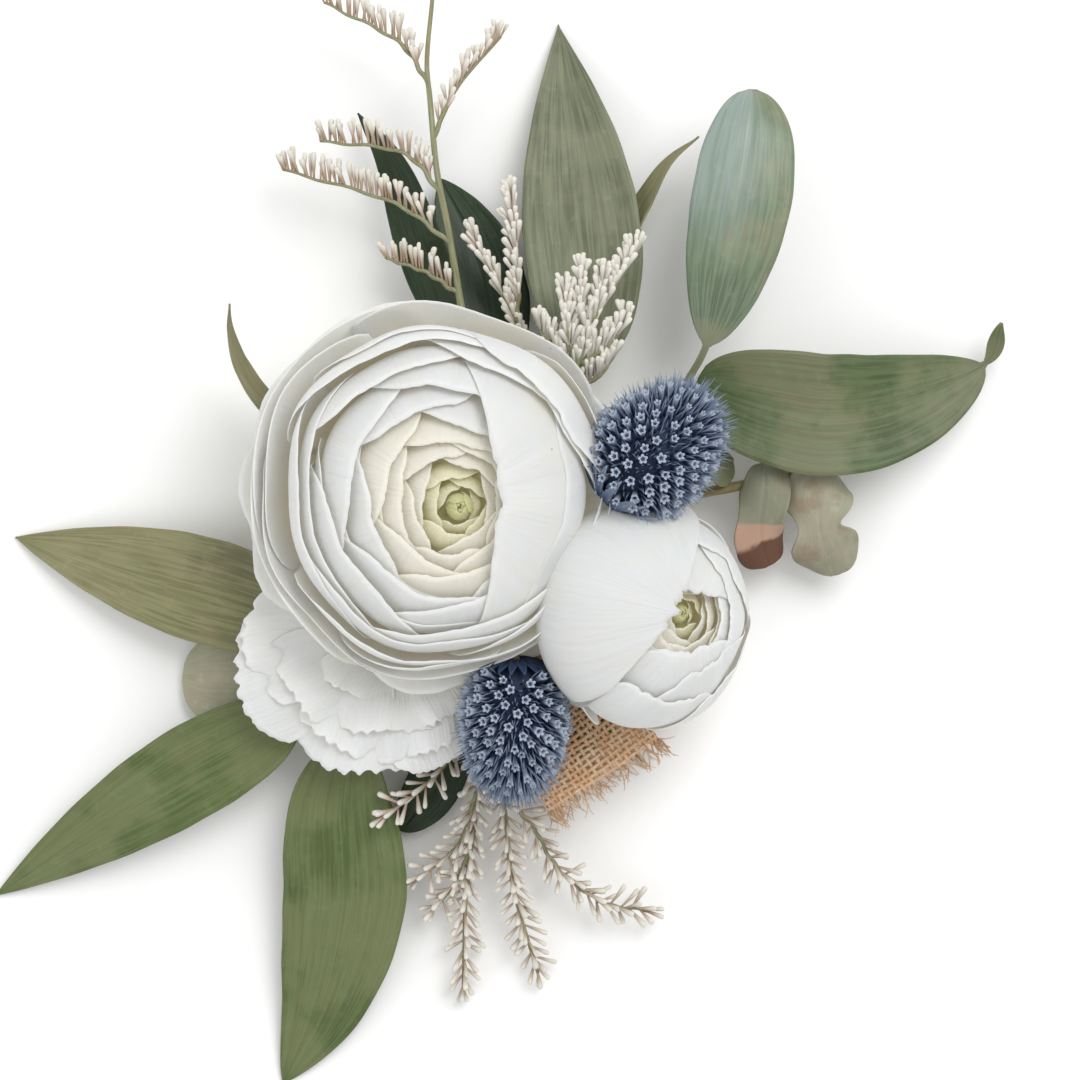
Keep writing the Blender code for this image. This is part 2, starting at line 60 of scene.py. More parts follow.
MM = 0.001
BODY = "root"
BLADE_MAP = "Blade"
CLEARANCE = 0.25
CLOTH_CLEARANCE = 0.34
GOLDEN_ANGLE = math.radians(137.5)
UP = np.array([0.0, 0.0, 1.0])

# Ranunculus petals: share outwards up to which they are young, share from which they open, and the angle
# from the back of the bloom at which they start.
YOUNG_TO = 0.16
OPENS_AT = 0.74
PETAL_ROOT = 0.16

# The bound stems, a straight bundle under the flowers.
NECK = np.array([-5.0, 8.7, 8.1])
BUNDLE_DOWN = np.array([0.555, -0.832, 0.0])
BUNDLE_SIDE = np.array([0.832, 0.555, 0.0])
BUNDLE_LENGTH = 35.0
SLEEVE_START = 2.6
SLEEVE_LENGTH = 35.2
STEM_PITCH = 2.5
ROW_PITCH = 2.15

# Midrib points of each leaf from stalk to tip, full width, outline exponents, roll at both ends, cup and
# which of the leaf finishes it takes. Some have a bare stalk, a narrow curled tip, a pinched waist or a deeper
# edge wave.
LEAVES = {
    "ruscus_leaf_left_upper": dict(
        spine=[(-31, 2.6, 10.2), (-46.6, 7.2, 9), (-64.9, 12.3, 5), (-85.1, 17.7, 0.42)],
        width=18, outline=(0.55, 0.95), roll=(-8, 6), cup=0.10, finish="olive",
    ),
    "ruscus_leaf_left_lower": dict(
        spine=[(-36, -12.2, 10), (-54.6, -22.6, 8), (-72.4, -33.6, 4.5), (-88.6, -44, 0.42)],
        width=16, outline=(0.45, 0.95), roll=(10, -4), cup=0.14, finish="green",
    ),
    "ruscus_leaf_bottom": dict(
        spine=[(-26.5, -15.5, 8.6), (-28.6, -28, 8), (-28.2, -44.3, 5.4), (-32, -61.7, 2.8),
               (-39, -76.3, 0.42)],
        width=21, outline=(0.6, 0.85), roll=(0, 0), cup=0.10, finish="green",
    ),
    "ruscus_leaf_top_centre": dict(
        spine=[(10.6, 43.5, 12.5), (12.8, 57.6, 13), (11.4, 78.3, 8.6), (8.3, 105.9, 0.42)],
        width=20, outline=(0.66, 1.05), roll=(4, -4), cup=0.12, finish="sage",
    ),
    "ruscus_leaf_top_right": dict(
        spine=[(29, 42.4, 15.2), (33.4, 51, 19), (38, 70, 21), (40.2, 84, 20.5), (40.8, 92.6, 17.5)],
        width=16.6, outline=(0.60, 0.44), roll=(0, 0), cup=-0.16, finish="glossy", stalk=0.17,
    ),
    "ruscus_leaf_right": dict(
        spine=[(31.4, 43.6, 14.8), (42, 40.2, 16.5), (54, 38.2, 15), (67, 40.4, 10), (80.8, 47, 5),
               (83.8, 54.2, 7)],
        width=20.5, outline=(0.42, 0.62), roll=(6, -2), cup=0.10, finish="fresh", tip=0.87,
    ),
    "ruscus_leaf_behind_centre": dict(
        spine=[(7, 46.5, 6.2), (14, 59.5, 6.2), (22.4, 73.6, 8.6), (26.8, 80.8, 11.8), (31.8, 84.9, 15.9)],
        width=7, outline=(1.2, 1.3), roll=(-40, -62), cup=0.15, finish="olive",
    ),
    "ruscus_leaf_left_sliver": dict(
        spine=[(-33.5, 33, 10.4), (-41.3, 40.3, 13.4), (-45, 46.3, 19), (-46.1, 51.8, 25),
               (-45.7, 55.9, 30)],
        width=6, outline=(0.6, 1.3), roll=(48, 74), cup=0.15, finish="olive",
    ),
    # The three dark leaves take painted shade: a darkened copy of the ruscus green for where they lie in shadow
    # behind and under the flowers.
    "ruscus_leaf_dark_left": dict(
        spine=[(-9.4, 50.5, 9.5), (-15.2, 67.7, 9.4), (-20, 81, 8), (-25.9, 90, 6)],
        width=9, outline=(0.6, 0.95), roll=(-20, -34), cup=0.12, finish="dark",
    ),
    "ruscus_leaf_dark_right": dict(
        spine=[(-1.8, 46.5, 6.2), (-3.6, 57.5, 5.8), (-7, 68.6, 5), (-11.9, 79.1, 3.6)],
        width=14.5, outline=(0.55, 0.8), roll=(6, 6), cup=0.10, finish="dark",
    ),
    "ruscus_leaf_dark_bottom": dict(
        spine=[(-12.4, -7, 2.9), (-9.6, -15, 3.5), (-12.9, -24.4, 3.4), (-18.7, -32.7, 2.6)],
        width=9.5, outline=(1, 0.6), roll=(0, 0), cup=0.08, finish="dark",
    ),
    # The left eucalyptus leaf takes the pale finish: painted light, the eucalyptus grey lightened by half to
    # make up for the shade it lies in.
    "eucalyptus_leaf_left": dict(
        spine=[(-34.5, -6.4, 3.8), (-46, -6.8, 3.3), (-56.2, -6.4, 2)],
        width=17, outline=(0.5, 0.42), roll=(0, 0), cup=0.08, finish="pale",
    ),
    "eucalyptus_leaf_curled": dict(
        spine=[(52.4, 29.4, 11.5), (52.2, 24.6, 12.4), (52.6, 18.6, 11.2), (55.2, 11.2, 7)],
        width=13, outline=(0.26, 0.30), roll=(-12, 16), cup=-0.22, finish="eucalyptus", wave=1.3, waist=0.44,
    ),
    "eucalyptus_leaf_folded": dict(
        spine=[(43.2, 30.2, 12.9), (43, 25, 13.4), (42.4, 18.4, 11.2), (44, 12.8, 7.6)],
        width=9.6, outline=(0.28, 0.22), roll=(22, -18), cup=-0.20, finish="rusty", wave=1, waist=0.20,
    ),
    "eucalyptus_leaf_small": dict(
        spine=[(37.6, 27.4, 9.9), (35.8, 29.2, 11.6), (34.2, 32.4, 12)],
        width=5.6, outline=(0.5, 0.5), roll=(20, 30), cup=0.15, finish="fresh",
    ),
}

# Place of each stem in the bundle (column, row), then its way on from the neck.
STEMS = {
    "large_ranunculus_stem": ((-0.5, 1), [(-10.4, 16.2, 10.3), (-13, 21.4, 10.6), (-14.6, 25.4, 11.8)]),
    "small_ranunculus_stem": ((2, 0), [(2, 15.4, 8.4), (8.6, 13, 8.6), (14.4, 6.4, 9.6)]),
    "carnation_stem": ((-1.5, 1), [(-12.6, 10.6, 10), (-16.2, 8.6, 9.8), (-19, 4.6, 9.9)]),
    "upper_thistle_stem": ((1.5, 1), [(-2.2, 17, 10.6), (5, 20.4, 13), (13, 22.8, 20.8)]),
    "lower_thistle_stem": (
        (-1, 2),
        [(-8.4, 12.2, 12.9), (-5.6, 13.2, 13.8), (-3.4, 10.4, 16.4), (-2.2, 5.2, 18.7), (-0.4, 1, 22.2),
         (0.9, -1.8, 24.8), (1.05, -4.6, 25.2)],
    ),
    "ruscus_stem_left": ((-1, 0), [(-12, 14.4, 8), (-20, 11.8, 7.4), (-27, 5.4, 8.4), (-31.8, 3, 9.9)]),
    "ruscus_stem_sliver": ((0, 0), [(-11.2, 19, 7.9), (-22, 26.4, 8), (-30.6, 31, 9.6),
                                    (-34.2, 33.4, 10.6)]),
    "ruscus_stem_lower_left": ((-0.5, -1), [(-12.4, 13, 5.6), (-21.6, 4.4, 4.4), (-31.6, -9.2, 7.4),
                                            (-36.8, -12.6, 9.7)]),
    "ruscus_stem_bottom": ((-1.5, -1), [(-12.4, 8, 5.4), (-18.6, -1.6, 4.4), (-25.4, -12.4, 7),
                                        (-26.7, -16.8, 8.3)]),
    "ruscus_stem_top": ((0, -2), [(-9.6, 21, 3.4), (-5.6, 33, 3.4), (-2.4, 43.2, 5.4), (-1.9, 47.6, 6)]),
    "ruscus_stem_right": ((1, -2), [(-2.6, 20.4, 3.5), (8, 31, 5.6), (22.6, 38.8, 11.8), (30.4, 42, 14.8)]),
    "eucalyptus_stem": ((1.5, -1), [(1.2, 16, 5.8), (14, 20.6, 6), (28, 24.2, 8.6), (46.2, 27.8, 9.8),
                                    (51.8, 29, 11.2)]),
}

# Statice: place in the bundle, route of the main stem, share of it that is bare, the way that the
# florets lean to (None for both sides), how rosy they are, how far apart (times the floret pitch), and the
# side branches.
SPRIGS = {
    "statice_sprig_top": dict(
        place=(0.5, -1), bare=0.90, lean=(0.05, 1, 0.2), pink=0.8, gap=1,
        route=[(-7.8, 20, 6.2), (-8, 35, 7.4), (-6.6, 48, 12.6), (-8.3, 57.6, 13.8), (-10.2, 69.2, 15.6),
               (-12.1, 79.1, 17.5), (-13.2, 90.7, 18.6), (-13.7, 97.3, 19.2), (-12.8, 107.2, 19.6),
               (-12.2, 114.4, 19.6)],
        branches=[
            [(-13.5, 93.5, 18.8), (-18.6, 100.5, 18.6), (-31, 107.2, 17)],
            [(-12.6, 84.6, 18), (-8.8, 92.6, 19), (-1.4, 101.2, 19)],
            [(-11.2, 75, 16.8), (-17.8, 82, 17.2), (-31.8, 84.2, 15.2)],
            [(-9.8, 67, 15.2), (-19.4, 73.8, 15.8), (-38.2, 79.6, 13.4)],
            [(-8.5, 58.6, 14), (-14, 62.2, 14.6), (-20.8, 64.6, 13.6)],
        ],
    ),
    "statice_sprig_middle": dict(
        place=(0.5, 1), bare=0.55, lean=(0.05, 1, 0.3), pink=0.12, gap=0.52,
        route=[(-4.6, 21.6, 10), (4, 33.6, 10.6), (9.4, 39.6, 19), (11.6, 46.6, 24), (15.6, 56, 25.4),
               (21.4, 65.2, 25.6)],
        branches=[
            [(10.5, 43.7, 22), (7.8, 48.6, 24), (4.6, 52.6, 24.6)],
            [(11.3, 45.6, 23.4), (9.6, 51.6, 25.4), (9.2, 58.4, 26.4)],
            [(13, 50, 24.6), (11.8, 56, 26.4), (12, 61.4, 26.8)],
            [(13.8, 51.6, 24.8), (15, 56.8, 26.6), (15.6, 60.8, 26.8)],
            [(12, 46.4, 24), (16.6, 49.6, 25), (19.8, 53.8, 24.8)],
            [(10.6, 42.4, 21.8), (14.8, 44.2, 23.8), (17.4, 47.6, 24)],
            [(10.2, 41.6, 21.4), (7, 44.4, 23), (5.4, 47.6, 23.4)],
        ],
    ),
    "statice_sprig_back": dict(
        place=(1, 0), bare=0.62, lean=(-0.35, 0.9, 0.3), pink=0.35, gap=0.7,
        route=[(-5, 20.6, 7.9), (-1.8, 34, 7.6), (2.4, 46, 9.4), (2, 52, 11.6), (-1.6, 59.6, 13.4),
               (-6.4, 68.6, 14.2)],
        branches=[
            [(1.2, 54, 12.4), (1.6, 62, 14.2), (0.2, 75.6, 14.4)],
        ],
    ),
    "statice_sprig_lower_left": dict(
        place=(-2, 0), bare=0.62, lean=None, pink=0.6, gap=1.15,
        route=[(-12.6, 8.6, 8), (-14.8, 2.6, 7.8), (-13, -5, 8), (-8.6, -14.6, 8.6), (-5.4, -24, 8.2),
               (-7.4, -42, 5), (-8, -59.6, 2.4)],
        branches=[
            [(-8, -16.6, 8.5), (-13.6, -23.8, 10), (-21, -29.4, 10.8)],
            [(-5.6, -25.6, 8), (-8.6, -34.4, 7.2), (-15.6, -40.6, 5.6)],
            [(-6.8, -36, 6.2), (-9.4, -41.4, 5.8), (-13.2, -46.2, 4.6)],
        ],
    ),
    "statice_sprig_lower_right": dict(
        place=(-1, -2), bare=0.62, lean=None, pink=0.6, gap=1.15,
        route=[(-11.2, 10.8, 3.4), (-13.6, 4.6, 2.8), (-11.6, -4, 4.6), (-4.6, -17, 5.8), (-1, -28.4, 6.6),
               (0.6, -42, 5.4), (4.8, -57, 2.4)],
        branches=[
            [(-1.6, -26.6, 6.6), (3.6, -31, 7), (8, -38.4, 6.4), (15.4, -44.4, 5.4), (24, -46.3, 4.2)],
        ],
    ),
}

# Thistles: colour of the bracts, axis from base to tip, how far the ruff spreads and lifts, half the length
# and the radius of the head, and its shift from the middle of the CAD head.
THISTLES = {
    "upper_thistle": dict(
        bracts="blue", axis=(0.72, 0.66, 0.10), ruff=(0.86, 4.6),
        half_length=12.8, radius=9.2, nudge=(-1.6, -1.0, 1.8),
    ),
    "lower_thistle": dict(
        bracts="navy", axis=(-0.03, -0.98, -0.12), ruff=(0.62, 1.6),
        half_length=12.5, radius=7.9, nudge=(0.2, 2.3, 0.0),
    ),
}

# Petals that stand out from the rest: share outwards, middle direction, half spread, closing (above 1 it
# stands open), how straight its rim is, flare and ruffle.
LARGE_FEATURES = [
    (0.30, 205, 84, 0.80, 0, 0, 0),
    (0.40, 186, 88, 0.84, 0, 0, 0),
    (0.50, 212, 80, 0.87, 0, 0, 0),
    (0.58, 176, 72, 0.90, 0, 0, 0.05),
    (0.66, 226, 74, 0.91, 0, 0, 0.1),
    (0.71, 2, 82, 0.36, 0.72, 0, 0),
    (0.76, 190, 66, 0.93, 0, 0, 0.1),
    (0.80, 252, 64, 0.93, 0, 0, 0.2),
    (0.84, 104, 60, 0.93, 0.2, 0, 0.2),
    (0.87, 40, 50, 0.82, 0.8, 0.2, 0.2),
    (0.91, 286, 54, 0.97, 0, 0.3, 0.3),
    (0.94, 214, 52, 1.02, 0, 0.5, 0.3),
    (0.965, 150, 60, 1.06, 0, 0.8, 0.4),
    (0.985, 128, 56, 1.30, 0, 1.8, 0.4),
    (1.005, 296, 50, 1.26, 0, 2.6, 0.4),
    (1.03, 198, 36, 1.36, 0, 2.8, 1),
]
SMALL_FEATURES = [
    (0.70, -8, 72, 0.46, 0.4, 0, 0),
    (0.78, 84, 80, 0.25, 0.5, 0, 0),
    (0.82, -84, 74, 0.34, 0.6, 0, 0.05),
    (0.86, 10, 72, 0.52, 0.4, 0, 0.05),
    (0.90, -62, 56, 0.54, 0.6, 0, 0.1),
    (0.94, 50, 60, 0.68, 0.3, 0, 0.1),
    (0.98, -98, 52, 0.72, 0.5, 0, 0.2),
    (1.02, -42, 46, 0.80, 0.4, 0, 0.2),
    (1.06, 147, 82, 0.15, 0.5, 0, 0.15),
]

# Lobes of the carnation: direction, length and half width.
CARNATION_LOBES = [(202, 26.4, 10.6), (230, 19.6, 8.6), (257, 24.6, 10.4), (291, 24.2, 8.8)]


# ---------------------------------------------------------------------------------------------
# Settings


def length_setting(name, description, default):
    return bpy.props.FloatProperty(name=name, description=description, default=default, min=0.0, unit="LENGTH")


def colour_setting(name, description, default):
    return bpy.props.FloatVectorProperty(
        name=name, description=description, default=default, size=3, min=0.0, max=1.0, subtype="COLOR"
    )


class PetalSettings(bpy.types.PropertyGroup):
    """Petals of the ranunculus and the carnation."""

    thickness: length_setting("Petal thickness", "Thickness of one petal", 0.00011)
    large_count: bpy.props.IntProperty(
        name="Large bloom petals", description="How many petals the open ranunculus has", default=48, min=12
    )
    small_count: bpy.props.IntProperty(
        name="Small bloom petals", description="How many petals the half-open ranunculus has", default=26, min=8
    )
    carnation_count: bpy.props.IntProperty(
        name="Carnation petals", description="How many petals each lobe of the carnation has", default=3, min=1
    )
    white: colour_setting("White", "Petal faces in open light", (0.695, 0.712, 0.712))
    # Partly the petals' own cream base, partly painted shade where petals sink into the gaps of the bloom.
    cream: colour_setting("Cream", "Petals towards their base", (0.81, 0.745, 0.56))
    eye: colour_setting("Eye", "Young petals at the centre", (0.62, 0.62, 0.30))
    cool: colour_setting("Cool white", "Carnation petals", (0.785, 0.80, 0.80))


class LeafSettings(bpy.types.PropertyGroup):
    """Ruscus and eucalyptus leaves."""

    thickness: length_setting("Leaf thickness", "Thickness of a leaf", 0.00035)
    green: colour_setting("Green", "Ruscus", (0.095, 0.135, 0.042))
    fresh: colour_setting("Fresh green", "Paler ruscus", (0.090, 0.129, 0.051))
    olive: colour_setting("Olive", "Ruscus turning dry", (0.215, 0.215, 0.105))
    sage: colour_setting("Sage", "Pale underside of ruscus", (0.165, 0.185, 0.112))
    glossy: colour_setting("Blue green", "The glossy round-tipped leaf", (0.145, 0.20, 0.125))
    # Painted shade: a darkened copy of the ruscus green for the leaves that lie in shadow behind and under the
    # flowers.
    dark: colour_setting("Dark green", "Leaves in the shade behind the flowers", (0.018, 0.042, 0.014))
    eucalyptus: colour_setting("Grey green", "Eucalyptus", (0.32, 0.33, 0.235))


class ThistleSettings(bpy.types.PropertyGroup):
    """The two blue thistle heads."""

    floret_count: bpy.props.IntProperty(
        name="Florets", description="How many florets each head carries", default=200, min=20
    )
    floret_length: length_setting("Floret length", "How far a floret stands out of the head", 0.0027)
    spine_length: length_setting("Spine length", "Length of the spines between the florets", 0.0040)
    navy: colour_setting("Navy", "The head between its florets", (0.011, 0.026, 0.068))
    steel: colour_setting("Steel blue", "Spines and bracts", (0.036, 0.086, 0.200))
    lavender: colour_setting("Lavender", "Open floret stars", (0.40, 0.46, 0.55))


class StaticeSettings(bpy.types.PropertyGroup):
    """The statice sprigs."""

    floret_length: length_setting("Floret length", "Length of one papery floret", 0.0045)
    floret_width: length_setting("Floret width", "Width of one papery floret", 0.00092)
    floret_pitch: length_setting("Floret pitch", "Distance between florets along a branch", 0.00056)
    cream: colour_setting("Cream", "Floret tips", (0.76, 0.74, 0.67))
    rose: colour_setting("Rose brown", "Floret bases", (0.38, 0.24, 0.14))
    stalk: colour_setting("Stalk", "Thin dry stems", (0.25, 0.26, 0.145))


class BurlapSettings(bpy.types.PropertyGroup):
    """The burlap sleeve and its frayed rim."""

    thread_width: length_setting("Thread width", "Width of one flattened jute thread", 0.00066)
    thread_depth: length_setting("Thread depth", "Depth of one flattened jute thread", 0.00030)
    warp_count: bpy.props.IntProperty(
        name="Lengthwise threads", description="Threads that run along the stems", default=58, min=8
    )
    weft_count: bpy.props.IntProperty(
        name="Crosswise threads", description="Threads that run round the stems", default=35, min=8
    )
    jute: colour_setting("Jute", "Thread colour", (0.74, 0.43, 0.22))
    straw: colour_setting("Straw", "Paler fibres", (0.84, 0.60, 0.39))


class StageSettings(bpy.types.PropertyGroup):
    """The floor, the lights and the camera."""

    camera_height: length_setting("Camera height", "Camera above the floor", 0.62)
    floor: colour_setting("Floor", "Plain pale floor", (0.93, 0.93, 0.925))
    key_power: bpy.props.FloatProperty(
        name="Key light", description="Power of the large soft light", default=4.6, min=0.0, unit="POWER"
    )
    sky_strength: bpy.props.FloatProperty(
        name="Sky", description="Strength of the even light from all round", default=0.74, min=0.0
    )


SETTINGS = {
    "petals": PetalSettings,
    "leaves": LeafSettings,
    "thistles": ThistleSettings,
    "statice": StaticeSettings,
    "burlap": BurlapSettings,
    "stage": StageSettings,
}


def chosen(group):
    return getattr(bpy.context.scene, f"boutonniere_{group}")


# ---------------------------------------------------------------------------------------------
# Patterns shared by the finishes


def toned(colour, factor, lift=0.0):
    return [min(1.0, factor * part + lift) for part in colour]


def between(first, second, share=0.5):
    return [(1 - share) * a + share * b for a, b in zip(first, second)]


def start_group(name, inputs, outputs):
    """A node group with number inputs {name: default} and number outputs, with its two end nodes."""
    group = bpy.data.node_groups.new(name, "ShaderNodeTree")
    for label, default in inputs.items():
        group.interface.new_socket(label, in_out="INPUT", socket_type="NodeSocketFloat").default_value = default
    for label in outputs:
        group.interface.new_socket(label, in_out="OUTPUT", socket_type="NodeSocketFloat")
    return group, group.nodes.new("NodeGroupInput").outputs, group.nodes.new("NodeGroupOutput").inputs


def wire(tree, source, target):
    if isinstance(source, bpy.types.NodeSocket):
        tree.links.new(source, target)
    else:
        target.default_value = source


def maths(tree, operation, *values):
    node = tree.nodes.new("ShaderNodeMath")
    node.operation = operation
    for value, socket in zip(values, node.inputs):
        wire(tree, value, socket)
    return node.outputs[0]


def spread(tree, value, low, high):
    """value from low to high as 0 to 1, smoothly."""
    node = tree.nodes.new("ShaderNodeMapRange")
    node.interpolation_type = "SMOOTHSTEP"
    wire(tree, value, node.inputs["Value"])
    wire(tree, low, node.inputs["From Min"])
    wire(tree, high, node.inputs["From Max"])
    return node.outputs["Result"]


def noise(tree, vector, scale, detail):
    node = tree.nodes.new("ShaderNodeTexNoise")
    wire(tree, vector, node.inputs["Vector"])
    wire(tree, scale, node.inputs["Scale"])
    node.inputs["Detail"].default_value = detail
    node.inputs["Roughness"].default_value = 0.55
    return node.outputs["Fac"]


def blade_place(tree):
    """Along and across the blade, each from 0 to 1."""
    node = tree.nodes.new("ShaderNodeUVMap")
    node.uv_map = BLADE_MAP
    parts = tree.nodes.new("ShaderNodeSeparateXYZ")
    tree.links.new(node.outputs["UV"], parts.inputs[0])
    return parts.outputs[0], parts.outputs[1]


def together(tree, x, y, z):
    node = tree.nodes.new("ShaderNodeCombineXYZ")
    for value, socket in zip((x, y, z), node.inputs):
        wire(tree, value, socket)
    return node.outputs[0]


def own_place(tree):
    """The point's place in the piece, in metres."""
    return tree.nodes.new("ShaderNodeTexCoord").outputs["Object"]


def ribs_group():
    """Fine ribs that run along a blade from its base and close up where it narrows."""
    defaults = {"Count": 40.0, "Length": 2.0, "Seed": 0.0, "Sharpness": 0.25}
    group, put, out = start_group("Ribs", defaults, ["Mask", "Place"])
    along, across = blade_place(group)
    vector = together(
        group,
        maths(group, "MULTIPLY", along, put["Length"]),
        maths(group, "MULTIPLY", across, put["Count"]),
        put["Seed"],
    )
    rough = noise(group, vector, 1.0, detail=2.0)
    low = maths(group, "SUBTRACT", 0.5, put["Sharpness"])
    high = maths(group, "ADD", 0.5, put["Sharpness"])
    group.links.new(spread(group, rough, low, high), out["Mask"])
    group.links.new(along, out["Place"])
    return group


def mottle_group():
    """Soft cloudy patches."""
    group, put, out = start_group("Mottle", {"Scale": 120.0, "Seed": 0.0, "Low": 0.4, "High": 0.65}, ["Mask"])
    shift = group.nodes.new("ShaderNodeVectorMath")
    shift.operation = "ADD"
    group.links.new(own_place(group), shift.inputs[0])
    group.links.new(together(group, put["Seed"], put["Seed"], 0.0), shift.inputs[1])
    rough = noise(group, shift.outputs[0], put["Scale"], detail=4.0)
    group.links.new(spread(group, rough, put["Low"], put["High"]), out["Mask"])
    return group


def specks_group():
    """Scattered small spots."""
    group, put, out = start_group("Specks", {"Scale": 300.0, "Size": 0.12, "Sparseness": 0.8}, ["Mask"])
    cells = group.nodes.new("ShaderNodeTexVoronoi")
    cells.feature = "F1"
    group.links.new(own_place(group), cells.inputs["Vector"])
    group.links.new(put["Scale"], cells.inputs["Scale"])
    chance = group.nodes.new("ShaderNodeSeparateColor")
    group.links.new(cells.outputs["Color"], chance.inputs[0])
    chosen_cell = maths(group, "GREATER_THAN", chance.outputs[0], put["Sparseness"])
    spot = maths(group, "SUBTRACT", 1.0, spread(group, cells.outputs["Distance"], 0.0, put["Size"]))
    group.links.new(maths(group, "MULTIPLY", spot, chosen_cell), out["Mask"])
    return group


def edge_group():
    """How near a point is to the side edges and to the tip of its blade."""
    group, put, out = start_group("Blade Edge", {"Side": 0.15, "Tip": 0.1}, ["Side", "Tip"])
    along, across = blade_place(group)
    nearness = maths(group, "ABSOLUTE", maths(group, "SUBTRACT", maths(group, "MULTIPLY", across, 2.0), 1.0))
    group.links.new(spread(group, nearness, maths(group, "SUBTRACT", 1.0, put["Side"]), 1.0), out["Side"])
    group.links.new(spread(group, along, maths(group, "SUBTRACT", 1.0, put["Tip"]), 1.0), out["Tip"])
    return group


GROUP_MAKERS = {"Ribs": ribs_group, "Mottle": mottle_group, "Specks": specks_group, "Blade Edge": edge_group}


class Finish:
    """A new material: its Principled shader, and short ways to lead patterns into it."""

    def __init__(self, name, roughness=0.6, **sockets):
        self.material = bpy.data.materials.new(name)
        self.material.use_nodes = True
        self.tree = self.material.node_tree
        self.shader = self.tree.nodes["Principled BSDF"]
        self.shader.inputs["Roughness"].default_value = roughness
        for label, value in sockets.items():
            self.shader.inputs[label.replace("_", " ")].default_value = value

    def pattern(self, name, **values):
        node = self.tree.nodes.new("ShaderNodeGroup")
        node.node_tree = bpy.data.node_groups.get(name) or GROUP_MAKERS[name]()
        for label, value in values.items():
            wire(self.tree, value, node.inputs[label])
        return node.outputs

    def mix(self, factor, first, second):
        node = self.tree.nodes.new("ShaderNodeMix")
        node.data_type = "RGBA"
        wire(self.tree, factor, node.inputs["Factor"])
        for value, label in ((first, "A"), (second, "B")):
            socket = next(s for s in node.inputs if s.name == label and s.type == "RGBA")
            wire(self.tree, value if isinstance(value, bpy.types.NodeSocket) else (*value, 1.0), socket)
        return next(s for s in node.outputs if s.type == "RGBA")

    def over(self, colour, mask, amount, second):
        """second laid over colour where the mask is, at most by amount."""
        return self.mix(self.maths("MULTIPLY", mask, amount), colour, second)

    def maths(self, operation, *values):
        return maths(self.tree, operation, *values)

    def colour(self, source):
        self.tree.links.new(source, self.shader.inputs["Base Color"])

    def rough(self, mask, low, high):
        span = self.maths("MULTIPLY_ADD", mask, high - low, low)
        self.tree.links.new(span, self.shader.inputs["Roughness"])

    def bump(self, height, strength, distance):
        node = self.tree.nodes.new("ShaderNodeBump")
        node.inputs["Strength"].default_value = strength
        node.inputs["Distance"].default_value = distance
        self.tree.links.new(height, node.inputs["Height"])
        self.tree.links.new(node.outputs["Normal"], self.shader.inputs["Normal"])


def petal_finish(name, face, base, base_reach, seed):
    """A ranunculus or carnation petal: faint fan of veins, cream towards its base, a few spots. The cream is
    partly the petal's own colour and partly painted shade, warming the petals deep in the gaps of the bloom.
    """
    finish = Finish(
        name, 0.55, Subsurface_Weight=0.38, Subsurface_Scale=0.0014, Specular_IOR_Level=0.22, Sheen_Weight=0.1
    )
    finish.shader.inputs["Subsurface Radius"].default_value = (1.0, 0.9, 0.68)
    veins = finish.pattern("Ribs", Count=34.0, Length=1.6, Seed=seed, Sharpness=0.22)
    broad = finish.pattern("Ribs", Count=9.0, Length=1.2, Seed=seed + 7.0, Sharpness=0.3)
    cloud = finish.pattern("Mottle", Scale=160.0, Seed=seed * 0.01, Low=0.42, High=0.7)
    tan = finish.pattern("Specks", Scale=95.0, Size=0.10, Sparseness=0.93)
    dark = finish.pattern("Specks", Scale=140.0, Size=0.045, Sparseness=0.95)
    edge = finish.pattern("Blade Edge", Side=0.12, Tip=0.05)
    # Cream towards the base: partly the petal's own colour, partly painted shade deep between the petals.
    towards_base = finish.maths("SUBTRACT", 1.0, spread(finish.tree, veins["Place"], *base_reach))
    colour = finish.mix(towards_base, face, base)
    colour = finish.over(colour, cloud["Mask"], 0.18, toned(base, 0.93))
    colour = finish.over(colour, broad["Mask"], 0.35, toned(face, 0.86))
    colour = finish.over(colour, veins["Mask"], 0.12, toned(base, 0.86))
    colour = finish.over(colour, edge["Tip"], 0.30, toned(face, 1.06))
    colour = finish.over(colour, tan["Mask"], 0.45, (0.42, 0.30, 0.16))
    colour = finish.over(colour, dark["Mask"], 0.75, (0.05, 0.04, 0.03))
    finish.colour(colour)
    # Painted light: a faint warm glow mixed from the petal colour and cream. It stands for light passing
    # through thin petals and lifts the shade in the gaps.
    painted_glow = finish.mix(0.5, colour, (0.90, 0.80, 0.58))
    finish.tree.links.new(painted_glow, finish.shader.inputs["Emission Color"])
    finish.shader.inputs["Emission Strength"].default_value = 0.07
    finish.rough(cloud["Mask"], 0.48, 0.62)
    finish.bump(finish.maths("ADD", veins["Mask"], finish.maths("MULTIPLY", broad["Mask"], 2.0)), 0.40, 0.00018)
    return finish.material


